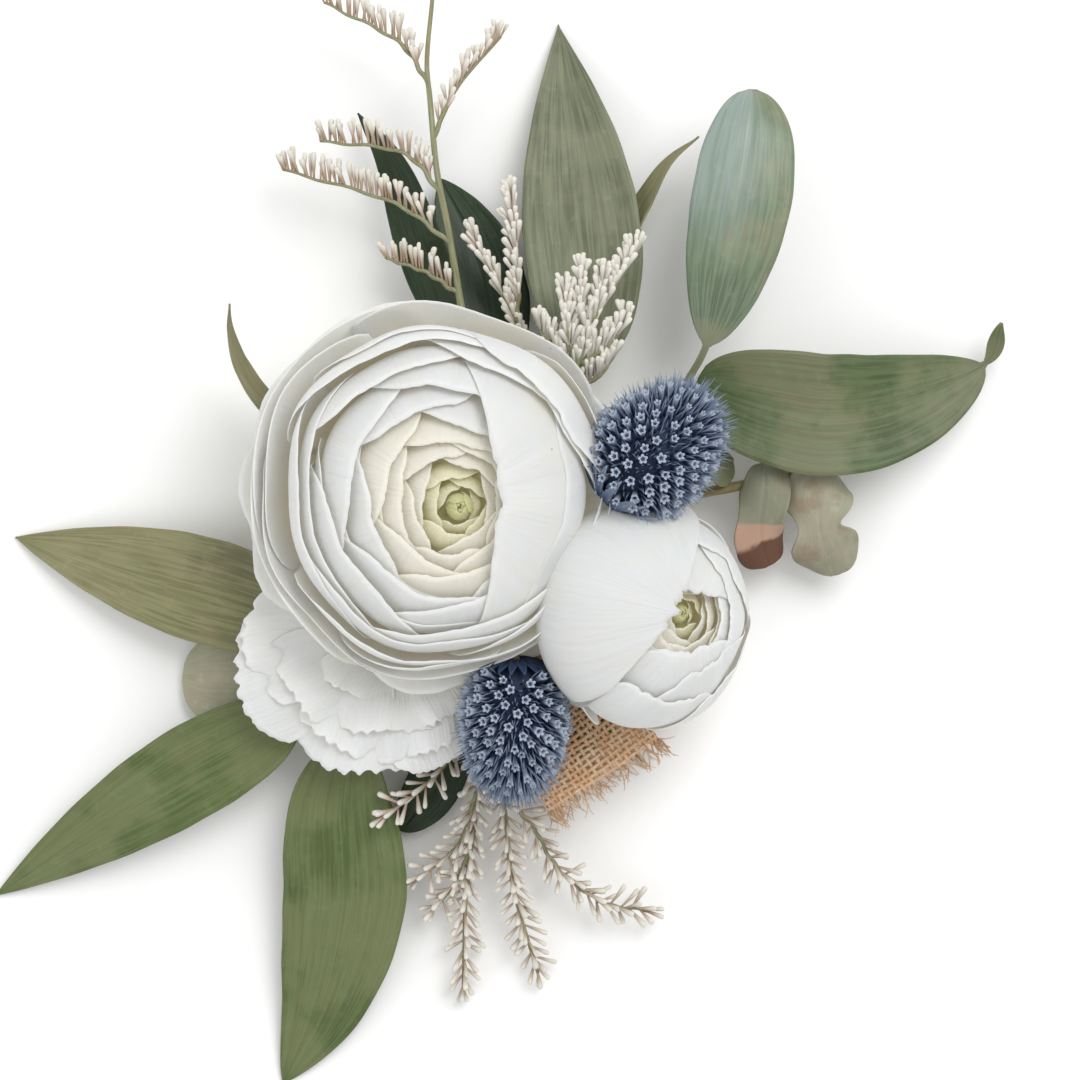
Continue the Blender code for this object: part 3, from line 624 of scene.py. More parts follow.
def leaf_finish(name, base, seed, dry, roughness, rust=0.0, coat=0.0, painted_highlight=0.0, fibre=1.0, bands=False):
    """A smooth leaf with fine lengthwise fibres, clouds of a drier colour and small pale scuffs."""
    finish = Finish(name, roughness, Specular_IOR_Level=0.28, Coat_Roughness=0.35, Subsurface_Weight=0.1)
    finish.shader.inputs["Subsurface Scale"].default_value = 0.0008
    finish.shader.inputs["Coat Weight"].default_value = coat
    fine = finish.pattern("Ribs", Count=60.0, Length=1.6, Seed=seed, Sharpness=0.22)
    broad = finish.pattern("Ribs", Count=11.0, Length=2.4, Seed=seed + 3.0, Sharpness=0.32)
    streaks = finish.pattern("Ribs", Count=26.0, Length=5.0, Seed=seed + 9.0, Sharpness=0.12)
    clouds = finish.pattern("Mottle", Scale=62.0, Seed=seed * 0.013, Low=0.42, High=0.60)
    scuffs = finish.pattern("Mottle", Scale=520.0, Seed=seed * 0.02, Low=0.55, High=0.78)
    edge = finish.pattern("Blade Edge", Side=0.05, Tip=0.05)
    shade = finish.pattern("Mottle", Scale=38.0, Seed=seed * 0.017 + 0.3, Low=0.44, High=0.60)
    pale = toned(base, 1.40, 0.02)
    deep = toned(base, 0.58)
    colour = finish.mix(finish.maths("MULTIPLY", broad["Mask"], 0.62 * fibre), base, deep)
    colour = finish.over(colour, shade["Mask"], 0.45, toned(deep, 0.72))
    colour = finish.over(colour, clouds["Mask"], 0.72, dry)
    colour = finish.over(colour, fine["Mask"], 0.38 * fibre, deep)
    colour = finish.over(colour, streaks["Mask"], 0.42 * fibre, pale)
    colour = finish.over(colour, scuffs["Mask"], 0.16, toned(pale, 1.25, 0.06))
    colour = finish.over(colour, edge["Side"], 0.25, pale)
    if rust:
        blush = finish.pattern("Mottle", Scale=170.0, Seed=seed * 0.03 + 0.2, Low=0.50, High=0.60)
        colour = finish.over(colour, blush["Mask"], rust, (0.24, 0.135, 0.08))
    if painted_highlight or bands:
        along, across = blade_place(finish.tree)
    # Painted highlight: a blue-white sheen over the outer part of the blade along one side, where the soft
    # light reflects off it.
    if painted_highlight:
        outer, left = spread(finish.tree, along, 0.38, 0.72), spread(finish.tree, across, 0.8, 0.3)
        highlight_mask = finish.maths("MULTIPLY", outer, left)
        highlight_mask = finish.maths("MULTIPLY", highlight_mask, finish.maths("MULTIPLY_ADD", broad["Mask"], 0.45, 0.55))
        colour = finish.mix(finish.maths("MULTIPLY", highlight_mask, painted_highlight), colour, (0.44, 0.52, 0.54))
    if bands:
        uneven = finish.maths("MULTIPLY_ADD", clouds["Mask"], 0.08, along)
        colour = finish.mix(spread(finish.tree, uneven, 0.54, 0.58), colour, (0.46, 0.30, 0.22))
        colour = finish.mix(spread(finish.tree, uneven, 0.74, 0.79), colour, (0.13, 0.06, 0.035))
    finish.colour(colour)
    finish.rough(scuffs["Mask"], roughness - 0.05, roughness + 0.10)
    height = finish.maths("MULTIPLY_ADD", fine["Mask"], 0.7, finish.maths("MULTIPLY", scuffs["Mask"], 0.5))
    finish.bump(height, 0.18, 0.0001)
    return finish.material


def stem_finish(name, base, seed):
    finish = Finish(name, roughness=0.5, Specular_IOR_Level=0.4)
    ridges = finish.pattern("Ribs", Count=9.0, Length=26.0, Seed=seed, Sharpness=0.25)
    patches = finish.pattern("Mottle", Scale=260.0, Seed=seed * 0.01, Low=0.4, High=0.7)
    colour = finish.mix(ridges["Mask"], toned(base, 0.7), toned(base, 1.25))
    dry = (0.55 * base[0] + 0.10, 0.6 * base[1] + 0.03, 0.6 * base[2])
    colour = finish.over(colour, patches["Mask"], 0.45, dry)
    finish.colour(colour)
    finish.rough(patches["Mask"], 0.42, 0.62)
    finish.bump(ridges["Mask"], 0.3, 0.00015)
    return finish.material


def two_tone_finish(name, base, tip, change, seed, roughness=0.75, specks=(0.1, 0.1, 0.1), speck_amount=0.2):
    """From one colour at the base of each small part to another at its tip."""
    finish = Finish(name, roughness=roughness, Specular_IOR_Level=0.3)
    ribs = finish.pattern("Ribs", Count=6.0, Length=3.0, Seed=seed, Sharpness=0.3)
    cloud = finish.pattern("Mottle", Scale=500.0, Seed=seed * 0.01, Low=0.4, High=0.7)
    towards_tip = spread(finish.tree, ribs["Place"], change[0], change[1])
    colour = finish.mix(towards_tip, base, tip)
    colour = finish.over(colour, ribs["Mask"], speck_amount, specks)
    colour = finish.over(colour, cloud["Mask"], 0.25, toned(tip, 0.6))
    finish.colour(colour)
    finish.rough(cloud["Mask"], roughness - 0.1, roughness + 0.1)
    finish.bump(ribs["Mask"], 0.3, 0.0001)
    return finish.material


def thread_finish(name, dark, pale):
    """Hairy jute thread: fibres run along it, with paler and darker lengths."""
    finish = Finish(name, roughness=0.9, Specular_IOR_Level=0.15, Sheen_Weight=0.3, Sheen_Roughness=0.6)
    fibres = finish.pattern("Ribs", Count=7.0, Length=60.0, Seed=2.0, Sharpness=0.2)
    lengths = finish.pattern("Mottle", Scale=330.0, Seed=0.1, Low=0.35, High=0.68)
    colour = finish.mix(lengths["Mask"], dark, pale)
    colour = finish.over(colour, fibres["Mask"], 0.45, toned(dark, 0.55))
    finish.colour(colour)
    finish.bump(fibres["Mask"], 0.6, 0.00012)
    finish.rough(lengths["Mask"], 0.84, 0.95)
    return finish.material


def tape_finish(name):
    finish = Finish(name, roughness=0.55, Specular_IOR_Level=0.4)
    crepe = finish.pattern("Ribs", Count=160.0, Length=7.0, Seed=4.0, Sharpness=0.2)
    cloud = finish.pattern("Mottle", Scale=300.0, Seed=0.3, Low=0.35, High=0.7)
    colour = finish.mix(crepe["Mask"], (0.065, 0.13, 0.045), (0.13, 0.21, 0.085))
    colour = finish.over(colour, cloud["Mask"], 0.4, (0.17, 0.23, 0.12))
    finish.colour(colour)
    finish.rough(cloud["Mask"], 0.45, 0.65)
    finish.bump(crepe["Mask"], 0.5, 0.0002)
    return finish.material


# ---------------------------------------------------------------------------------------------
# Shapes


class Patchwork:
    """Gathers points, faces and blade places of many small sheets or tubes into one mesh."""

    def __init__(self):
        self.points, self.faces, self.places = [], [], []
        self.count = 0

    def add(self, points, faces, places):
        self.points.append(np.asarray(points, float).reshape(-1, 3))
        self.places.append(np.asarray(places, float).reshape(-1, 2))
        self.faces += [tuple(int(k) + self.count for k in face) for face in faces]
        self.count += len(self.points[-1])

    def sheet(self, grid):
        """grid holds rows of points from the base of a blade to its tip."""
        rows, columns = grid.shape[0] - 1, grid.shape[1] - 1
        along, across = np.meshgrid(np.linspace(0, 1, rows + 1), np.linspace(0, 1, columns + 1), indexing="ij")
        step = columns + 1
        faces = [
            (r * step + c, r * step + c + 1, (r + 1) * step + c + 1, (r + 1) * step + c)
            for r in range(rows)
            for c in range(columns)
        ]
        self.add(grid, faces, np.stack([along, across], -1))

    def rings(self, rings, capped=True, along=None):
        """A closed body from rings of points; its ends are closed by a face each."""
        count, sides = rings.shape[:2]
        along = np.linspace(0, 1, count) if along is None else along
        places = np.stack(np.broadcast_arrays(along[:, None], np.linspace(0, 1, sides)[None, :]), -1)
        faces = [
            (r * sides + s, r * sides + (s + 1) % sides, (r + 1) * sides + (s + 1) % sides, (r + 1) * sides + s)
            for r in range(count - 1)
            for s in range(sides)
        ]
        if capped:
            faces.append(tuple(range(sides - 1, -1, -1)))
            faces.append(tuple((count - 1) * sides + s for s in range(sides)))
        self.add(rings, faces, places)

    def tube(self, route, radii, sides=8, facing=None, flat=1.0):
        """A tube along the route. facing points out of its flat side, and flat is depth over width."""
        route = np.asarray(route, float)
        tangents = np.gradient(route, axis=0)
        tangents /= np.linalg.norm(tangents, axis=1, keepdims=True)
        facing = np.broadcast_to(UP if facing is None else facing, route.shape)
        side = np.cross(tangents, facing + 1e-4)
        side /= np.linalg.norm(side, axis=1, keepdims=True)
        out = np.cross(side, tangents)
        turns = np.linspace(0, 2 * np.pi, sides, endpoint=False)
        radii = np.broadcast_to(np.asarray(radii, float), (len(route),))[:, None, None]
        turns = turns[None, :, None]
        ring = side[:, None] * np.cos(turns) + out[:, None] * (flat * np.sin(turns))
        self.rings(route[:, None] + ring * radii)

    def build(self, name, material, node, thickness=0.0, stands_for_it=True):
        """The mesh piece with its material; unless told otherwise it hides the CAD node that it stands for."""
        mesh = bpy.data.meshes.new(name)
        points = np.concatenate(self.points) * MM
        mesh.from_pydata(points.tolist(), [], self.faces)
        places = np.concatenate(self.places).astype(np.float32)
        layer = mesh.uv_layers.new(name=BLADE_MAP)
        corners = np.empty(len(mesh.loops), dtype=np.int32)
        mesh.loops.foreach_get("vertex_index", corners)
        layer.uv.foreach_set("vector", places[corners].ravel())
        mesh.materials.append(material)
        mesh.shade_smooth()
        mesh.validate()
        piece = bpy.data.objects.new(name, mesh)
        bpy.context.scene.collection.objects.link(piece)
        if thickness:
            solid = piece.modifiers.new("thickness", "SOLIDIFY")
            solid.thickness = thickness
            solid.offset = 0.0
        if stands_for_it:
            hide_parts(node)
        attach(piece, BODY)
        return piece


def unit(vector):
    vector = np.asarray(vector, float)
    return vector / np.linalg.norm(vector)


def smooth_route(points, samples):
    """Evenly counted points on a smooth curve through the given ones."""
    points = np.asarray(points, float)
    padded = np.vstack([2 * points[0] - points[1], points, 2 * points[-1] - points[-2]])
    place = np.linspace(0, len(points) - 1, samples + 1)
    span = np.minimum(place.astype(int), len(points) - 2)
    t = (place - span)[:, None]
    a, b, c, d = (padded[span + k] for k in range(4))
    return 0.5 * (2 * b + (c - a) * t + (2 * a - 5 * b + 4 * c - d) * t**2 + (3 * b - a - 3 * c + d) * t**3)


def joined_box(*nodes):
    """Lowest and highest corner, in millimetres, of several CAD nodes together."""
    boxes = np.array([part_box(node) for node in nodes]) / MM
    return boxes[:, 0].min(axis=0), boxes[:, 1].max(axis=0)


def nodes_named(start):
    return sorted(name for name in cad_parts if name.startswith(start))


def build_sheets(name, grids, material, node, thickness):
    """One piece from many blades."""
    patch = Patchwork()
    for grid in grids:
        patch.sheet(grid)
    patch.build(name, material, node, thickness)


def blade_steps(rows, columns):
    """Steps along a blade from 0 to 1, and across it from -1 to 1."""
    return np.linspace(0, 1, rows + 1)[:, None], np.linspace(-1, 1, columns + 1)[None, :]


def placed(centre, *parts):
    """centre plus, for each (direction, lengths), those lengths along that direction."""
    return centre + sum(direction * lengths[..., None] for direction, lengths in parts)


def axes_round(direction):
    """bloom_axes for a direction that may lie along x."""
    return bloom_axes(direction if abs(direction[0]) < 0.95 else direction + 0.1 * UP)


def bloom_axes(axis):
    """The way a bloom faces, and the two directions across it."""
    facing = unit(axis)
    right = unit(np.array([1.0, 0.0, 0.0]) - facing * facing[0])
    return facing, right, np.cross(facing, right)


def bloom_petal(
    bloom, share, turn, half_spread, closing, rng, straight=0.35, flare=None, ruffle=None, rows=26, columns=28
):
    """One petal: a patch of the shell at that share outwards, closing over the eye or standing open."""
    u, v = blade_steps(rows, columns)
    radius = bloom["inner"] + (bloom["outer"] - bloom["inner"]) * share
    openness = max(0.0, (share - OPENS_AT) / (1 - OPENS_AT))
    flare = bloom["flare"] * openness**1.5 if flare is None else flare
    ruffle = bloom["ruffle"] * openness if ruffle is None else ruffle
    phase = rng.uniform(0, 2 * np.pi, 6)
    if closing > 1:
        tip = math.pi / 2 - (closing - 1)
    else:
        level = np.maximum(np.cos(straight * v * half_spread), 0.05)
        tip = math.pi - np.arcsin(np.minimum(1.0, closing / level))
    notch = 0.012 * np.sin(5.0 * v + phase[0]) + 0.008 * np.sin(11.0 * v + phase[1])
    notch = 0.6 * notch * (1 - straight)
    notch = notch - 0.008 * np.abs(np.sin(7.0 * v + phase[4])) ** 6
    notch = notch - 0.004 * np.abs(np.sin(19.0 * v + phase[5])) ** 4
    reach = 0.52 + 0.48 * np.sqrt(1 - 0.995 * np.abs(v) ** 5) + notch * (1 + openness)
    polar = PETAL_ROOT + (tip - PETAL_ROOT) * u * reach
    wide = 0.30 + 0.70 * np.sin(np.pi / 2 * np.minimum(1.0, 1.35 * u))
    around = turn + v * half_spread * wide
    shared = 0.022 * np.sin(3 * around + 0.7) + 0.014 * np.sin(7 * around + 2.1)
    crumple = 0.14 * np.sin(5 * around + 0.6) * np.sin(4.3 * polar + 0.4)
    crumple = crumple + 0.025 * np.sin(17 * around + 5 * polar) * np.sin(9 * polar + 1.1)
    own = crumple * u + ruffle * np.sin(6.5 * v + phase[3]) * u**5
    ring = radius * (1 + shared * u) * np.sin(polar) + own + flare * u**5
    over = np.cos(polar)
    height = -radius * over * np.where(over > 0, bloom["depth"], bloom["dome"])
    height = height + 0.7 * crumple * u + 0.8 * ruffle * np.sin(7.0 * v + phase[1]) * u**5
    height = height - bloom["droop"] * (openness**2 + 0.25 * flare) * u**5
    sunk = bloom["sunk"] * (1 - min(1.0, share / 0.35)) ** 2
    centre = bloom["centre"] + bloom["shift"] * (1 - share)
    facing, right, top = bloom_axes(bloom["axis"])
    return placed(
        centre,
        (right, ring * np.cos(around) * bloom["wide"]),
        (top, ring * np.sin(around) * bloom["tall"]),
        (facing, height - sunk),
    )


def bloom_petals(bloom, count, features, rng):
    """All the petals of a bloom from the inside out, as (share, grid)."""
    petals = []
    low, high, bend = bloom["closing"]
    for k in range(count):
        share = k / (count - 1)
        closing = (low + (high - low) * share**bend) * rng.uniform(0.97, 1.03)
        half_spread = math.radians(bloom["spread"][0] + (bloom["spread"][1] - bloom["spread"][0]) * share)
        turn = k * GOLDEN_ANGLE + rng.uniform(-0.25, 0.25)
        half_spread *= rng.uniform(0.85, 1.15)
        petals.append((share, bloom_petal(bloom, share, turn, half_spread, closing, rng)))
    for share, turn, half_spread, closing, straight, flare, ruffle in features:
        share = (round(share * (count - 1) - 0.5) + 0.5) / (count - 1)
        turn, half_spread = math.radians(turn), math.radians(half_spread)
        grid = bloom_petal(bloom, share, turn, half_spread, closing, rng, straight, flare, ruffle, 34, 44)
        petals.append((share, grid))
    return sorted(petals, key=lambda pair: pair[0])


def bud(patch, centre, axis, radius, rng):
    """A tight ball of young petals, each a narrow patch that closes over the tip."""
    facing, right, top = bloom_axes(axis)
    for k in range(9):
        u, v = blade_steps(14, 12)
        size = radius * (0.72 + 0.035 * k)
        polar = 0.5 + (3.10 - 0.05 * k - 0.5) * u * (1 - 0.10 * v**2)
        around = k * GOLDEN_ANGLE + v * 1.15 * np.sin(np.pi * np.clip(u, 0.05, 0.72))
        ring = size * np.sin(polar) * (1 + 0.03 * np.sin(3 * around + rng.uniform(0, 6)))
        back = size * 1.05 * np.cos(polar)
        across = (right, ring * np.cos(around)), (top, ring * np.sin(around))
        patch.sheet(placed(centre, *across, (-facing, back)))


def build_bloom(name, bloom, count, features, seed, heart_share):
    """A ranunculus: the inner petals are its heart, and the rest make one whorl for each CAD petal."""
    settings = chosen("petals")
    rng = np.random.default_rng(seed)
    petals = bloom_petals(bloom, count, features, rng)
    white, cream, eye, thickness = settings.white, settings.cream, settings.eye, settings.thickness
    young = between(cream, between(cream, eye), 0.35)
    outer_finish = petal_finish(f"{name} outer petal", white, cream, bloom["cream"], seed)
    # Painted shade: the middle petals sit deep between the others, so they are tinted halfway to cream to stand
    # for the warm shade in the gaps.
    middle_finish = petal_finish(f"{name} middle petal", between(white, cream), cream, (0.45, 0.9), seed + 1)
    young_finish = petal_finish(f"{name} young petal", young, eye, (0.5, 0.98), seed + 2)
    bud_finish = petal_finish(f"{name} bud", eye, toned(eye, 0.8), (0.3, 0.9), seed + 3)
    heart = f"{name}_heart"
    grids = [grid for share, grid in petals if share < YOUNG_TO]
    build_sheets(f"{name}_young_petals", grids, young_finish, heart, thickness)
    core = Patchwork()
    tip = bloom["centre"] + bloom["shift"] + unit(bloom["axis"]) * bloom["bud_lift"]
    bud(core, tip, bloom["axis"], bloom["bud"], rng)
    core.build(f"{name}_bud", bud_finish, heart, thickness)
    grids = [grid for share, grid in petals if YOUNG_TO <= share < heart_share]
    build_sheets(f"{name}_inner_petals", grids, middle_finish, heart, thickness)
    outer = [grid for share, grid in petals if share >= heart_share]
    nodes = nodes_named(f"{name}_petal")
    for number, node in enumerate(nodes):
        first, last = (round(len(outer) * k / len(nodes)) for k in (number, number + 1))
        build_sheets(f"{name}_whorl_{number + 1}", outer[first:last], outer_finish, node, thickness)


def calyx(bloom, name):
    """Five pointed sepals that cup the back of the bloom."""
    facing, right, top = bloom_axes(bloom["axis"])
    grids = []
    for k in range(5):
        u, v = blade_steps(16, 10)
        radius = bloom["outer"] + 1.9
        polar = 0.06 + 0.52 * u * (1 - 0.15 * v**2)
        around = 2 * np.pi * k / 5 + v * 0.62 * (1 - u**2.2) ** 0.6
        ring = radius * np.sin(polar)
        back = radius * bloom["depth"] * np.cos(polar)
        across = (right, ring * np.cos(around)), (top, ring * np.sin(around))
        grids.append(placed(bloom["centre"], *across, (-facing, back)))
    build_sheets(name, grids, stem_finish("sepal", (0.16, 0.22, 0.07), 5.0), name, 0.0005)


def even_steps(route):
    """The same curve with its points an equal distance apart."""
    travelled = np.concatenate([[0.0], np.cumsum(np.linalg.norm(np.diff(route, axis=0), axis=1))])
    places = np.linspace(0, travelled[-1], len(route))
    return np.stack([np.interp(places, travelled, route[:, axis]) for axis in range(3)], -1)


def leaf_outline(shape, u):
    """Half the width of the blade along its midrib."""
    a, b = shape["outline"]
    start, end = shape.get("stalk", 0.0), shape.get("tip", 1.0)
    t = np.clip((u - start) / (end - start), 0.0005, 0.9995)
    widest = a / (a + b)
    half = shape["width"] / 2 * (t / widest) ** a * ((1 - t) / (1 - widest)) ** b
    half = half * (1 - shape.get("waist", 0.0) * np.exp(-(((t - 0.5) / 0.14) ** 2)))
    narrow = np.where(u > end, 0.25 + 1.2 * np.sin(np.pi * np.clip((u - end) / (1.0001 - end), 0, 1)), 0.0)
    stalk = np.where(u < start + 0.04, 0.55, 0.1)
    return np.maximum(np.where((u < start) | (u > end), 0.0, half), np.maximum(stalk, narrow))


def leaf_grid(shape, rows=90, columns=24):
    route = even_steps(smooth_route(shape["spine"], rows))
    tangents = np.gradient(route, axis=0)
    tangents /= np.linalg.norm(tangents, axis=1, keepdims=True)
    u = np.linspace(0, 1, rows + 1)
    v = np.linspace(-1, 1, columns + 1)[None, :]
    half = leaf_outline(shape, u)[:, None]
    roll = np.radians(shape["roll"][0] + (shape["roll"][1] - shape["roll"][0]) * u)[:, None]
    level = np.cross(tangents, UP)
    level /= np.linalg.norm(level, axis=1, keepdims=True)
    lifted = np.cross(level, tangents)
    side = level * np.cos(roll) + np.cross(tangents, level) * np.sin(roll)
    face = np.cross(side, tangents)
    face = np.where((face * lifted).sum(axis=1, keepdims=True) < 0, -face, face)
    rise = shape["cup"] * half * v**2
    rise = rise - 0.16 * np.exp(-((v / 0.06) ** 2)) * np.minimum(1.0, half / 3)
    swing = shape.get("wave", 0.12)
    wave = np.sin(9.0 * u[:, None] + 2.2 * np.sign(v)) * np.abs(v) ** 2.5
    rise = rise + swing * wave * np.minimum(1.0, half / 4)
    edge = 1 + 0.006 * np.sin(37 * u[:, None] + 2 * v)
    grid = route[:, None] + side[:, None] * (half * v * edge)[..., None] + face[:, None] * rise[..., None]
    grid[..., 2] = np.maximum(grid[..., 2], CLEARANCE)
    return grid


def bundle_point(place, along):
    column, row = place
    return NECK + BUNDLE_SIDE * (column * STEM_PITCH) + UP * (row * ROW_PITCH) + BUNDLE_DOWN * along


def bundled_route(place, way, samples):
    """From the cut end of a stem in the bundle, straight to the neck, then along its way."""
    bend = smooth_route([bundle_point(place, 0.0), bundle_point(place, -3.0), *way], samples)
    straight = [bundle_point(place, (BUNDLE_LENGTH - 2.0) * (1 - k / 8)) for k in range(8)]
    return np.vstack([straight, bend])


def floret_rings(base, direction, length, width, rng):
    """One papery club-shaped floret as rings from its base to its rounded tip."""
    facing, right, top = axes_round(direction)
    turns = np.linspace(0, 2 * np.pi, 8, endpoint=False) + rng.uniform(0, 1)
    grooves = 1 + 0.12 * np.cos(np.arange(8) * np.pi)
    spot = (right * np.cos(turns)[:, None] + top * np.sin(turns)[:, None]) * grooves[:, None]
    bow = np.cross(facing, UP) * rng.uniform(-0.25, 0.25)
    profile = [(0.0, 0.34), (0.25, 0.48), (0.55, 0.72), (0.84, 1.0), (0.95, 0.90), (1.0, 0.48)]
    rings = [
        base + spot * (wide * width / 2) + facing * (length * along) + bow * along**2 for along, wide in profile
    ]
    return np.array(rings), np.array([along for along, wide in profile])


def florets_along(patch, line, lean, length, width, pitch, rng, start=0.06):
    """Florets in close rows along a branch, pointing forward and out to their side."""
    line = np.asarray(line, float)
    steps = np.linalg.norm(np.diff(line, axis=0), axis=1)
    travelled = np.concatenate([[0.0], np.cumsum(steps)])
    count = max(3, int(travelled[-1] * (1 - start) / pitch))
    for k in range(count + 1):
        at = travelled[-1] * (start + (1 - start) * k / count)
        spot, ahead, behind = (
            np.array([np.interp(place, travelled, line[:, axis]) for axis in range(3)])
            for place in (at, min(at + 0.6, travelled[-1]), max(at - 0.6, 0.0))
        )
        tangent = unit(ahead - behind)
        across = unit(np.cross(tangent, UP))
        row = k % 3 - 1
        close_to_tip = max(0.0, (k - count + 4) / 4)
        if lean is None:
            sideways = across * row * 1.1 + UP * (0.6 if row == 0 else 0.2)
            direction = tangent * (0.9 + close_to_tip) + sideways * (0.9 - 0.55 * close_to_tip)
        elif k % 5 == 4 and close_to_tip == 0.0:
            continue
        else:
            direction = np.asarray(lean) + across * row * 0.34 + tangent * (0.12 + 0.3 * close_to_tip)
        direction = unit(direction + rng.normal(0, 0.20 if lean is None else 0.10, 3))
        size = length * rng.uniform(0.72, 1.05) * (1 - 0.3 * close_to_tip)
        rings, along = floret_rings(spot, direction, size, width * rng.uniform(0.85, 1.15), rng)
        patch.rings(rings, along=along)


def star_floret(patch, spot, outward, length, rng, size):
    """A thistle floret: a club-shaped tube that opens into five rounded lobes round a dark mouth."""
    facing, right, top = axes_round(outward)
    turns = np.linspace(0, 2 * np.pi, 20, endpoint=False) + rng.uniform(0, 2)
    around = right * np.cos(turns)[:, None] + top * np.sin(turns)[:, None]
    lobes = (0.58 + 0.42 * np.abs(np.cos(np.arange(20) * np.pi / 4)))[:, None]
    rings = [
        spot + around * 0.30,
        spot + around * 0.46 + facing * length * 0.50,
        spot + around * (size * 0.74 * lobes) + facing * length * 0.82,
        spot + around * (size * lobes) + facing * length * (0.86 + 0.24 * lobes),
        spot + around * (size * 0.62 * lobes) + facing * length * (0.84 + 0.20 * lobes),
        spot + around * 0.20 + facing * length * 0.80,
    ]
    patch.rings(np.array(rings), along=np.array([0.0, 0.3, 0.75, 1.0, 0.92, 0.0]))


def spike(patch, base, direction, length, width):
    """A stiff tapering spine."""
    facing, right, top = axes_round(direction)
    turns = np.linspace(0, 2 * np.pi, 4, endpoint=False)
    around = right * np.cos(turns)[:, None] + top * np.sin(turns)[:, None]
    rings = [
        base + around * width,
        base + around * width * 0.7 + facing * length * 0.45,
        base + around * width * 0.06 + facing * length,
    ]
    patch.rings(np.array(rings), along=np.array([0.1, 0.5, 0.85]))


# ---------------------------------------------------------------------------------------------
# Operators


def petals_centre(name):
    low, high = joined_box(*nodes_named(f"{name}_petal"), f"{name}_heart")
    return (low + high) / 2


def large_bloom():
    middle = petals_centre("large_ranunculus")
    return {
        "centre": np.array([middle[0] + 0.4, middle[1] - 0.8, 32.6]),
        "axis": (0.10, -0.05, 1.0),
        "shift": np.array([3.9, -2.6, 4.4]),
        "inner": 3.4,
        "outer": 30.4,
        "closing": (0.60, 1.12, 2.4),
        "spread": (62.0, 48.0),
        "depth": 0.62,
        "dome": 0.46,
        "wide": 1.0,
        "tall": 1.03,
        "flare": 1.3,
        "ruffle": 0.2,
        "droop": 1.6,
        "sunk": 1.4,
        # How far up the outer petals the cream reaches: partly their own cream base, partly painted shade in
        # the gaps.
        "cream": (0.40, 0.90),
        "bud": 2.3,
        "bud_lift": -0.3,
    }


def small_bloom():
    middle = petals_centre("small_ranunculus")
    return {
        "centre": np.array([middle[0] + 0.1, middle[1] + 3.1, 24.4]),
        "axis": (0.56, 0.0, 0.83),
        "shift": np.array([5.0, 0.3, 5.4]),
        "inner": 2.8,
        "outer": 17.8,
        "closing": (0.50, 1.02, 3.0),
        "spread": (68.0, 58.0),
        "depth": 0.80,
        "dome": 0.72,
        "wide": 1.06,
        "tall": 1.06,
        "flare": 0.5,
        "ruffle": 0.3,
        "droop": 0.4,
        "sunk": 1.2,
        "cream": (0.10, 0.42),
        "bud": 1.7,
        "bud_lift": -0.6,
    }


class BOUTONNIERE_OT_large_ranunculus(bpy.types.Operator):
    """Build the large open ranunculus with its calyx"""

    bl_idname = "boutonniere.large_ranunculus"
    bl_label = "Large ranunculus"

    def execute(self, context):
        bloom = large_bloom()
        build_bloom("large_ranunculus", bloom, chosen("petals").large_count, LARGE_FEATURES, 11, 0.50)
        calyx(bloom, "large_ranunculus_calyx")
        return {"FINISHED"}


class BOUTONNIERE_OT_small_ranunculus(bpy.types.Operator):
    """Build the half-open ranunculus that faces right"""

    bl_idname = "boutonniere.small_ranunculus"
    bl_label = "Small ranunculus"

    def execute(self, context):
        build_bloom("small_ranunculus", small_bloom(), chosen("petals").small_count, SMALL_FEATURES, 23, 0.55)
        return {"FINISHED"}


class BOUTONNIERE_OT_carnation(bpy.types.Operator):
    """Build the carnation's toothed and ruffled petals"""

    bl_idname = "boutonniere.carnation"
    bl_label = "Carnation"

    def execute(self, context):
        petals = chosen("petals")
        rng = np.random.default_rng(5)
        low, high = joined_box("carnation_heart")
        base = np.array([*((low + high) / 2)[:2], 14.0])
        finish = petal_finish("carnation petal", petals.cool, petals.cream, (0.05, 0.45), 31)
        nodes = nodes_named("carnation_petal")
        lobes = [[] for _ in nodes]
        for number, (direction, length, half_width) in enumerate(CARNATION_LOBES):
            for layer in range(petals.carnation_count):
                heading = math.radians(direction + (0, -10, 9, -4, 3)[layer % 5] + rng.uniform(-3, 3))
                reach = length - (0.0, 2.4, 6.8, 9.0, 10.5)[layer % 5] + rng.uniform(-0.5, 0.5)
                height = 16.4 + layer + rng.uniform(-0.2, 0.3)
                grid = carnation_petal(base, heading, reach, half_width * (1 - 0.09 * layer), height, rng)
                lobes[number % len(nodes)].append(grid)
        for number, (node, grids) in enumerate(zip(nodes, lobes)):
            build_sheets(f"carnation_petals_{number + 1}", grids, finish, node, petals.thickness)
        grids = [
            carnation_petal(base, k * GOLDEN_ANGLE, 7.0, 3.2, 15.6 + 0.2 * k, rng, start=1.0) for k in range(9)
        ]
        build_sheets("carnation_young_petals", grids, finish, "carnation_heart", petals.thickness)
        return {"FINISHED"}


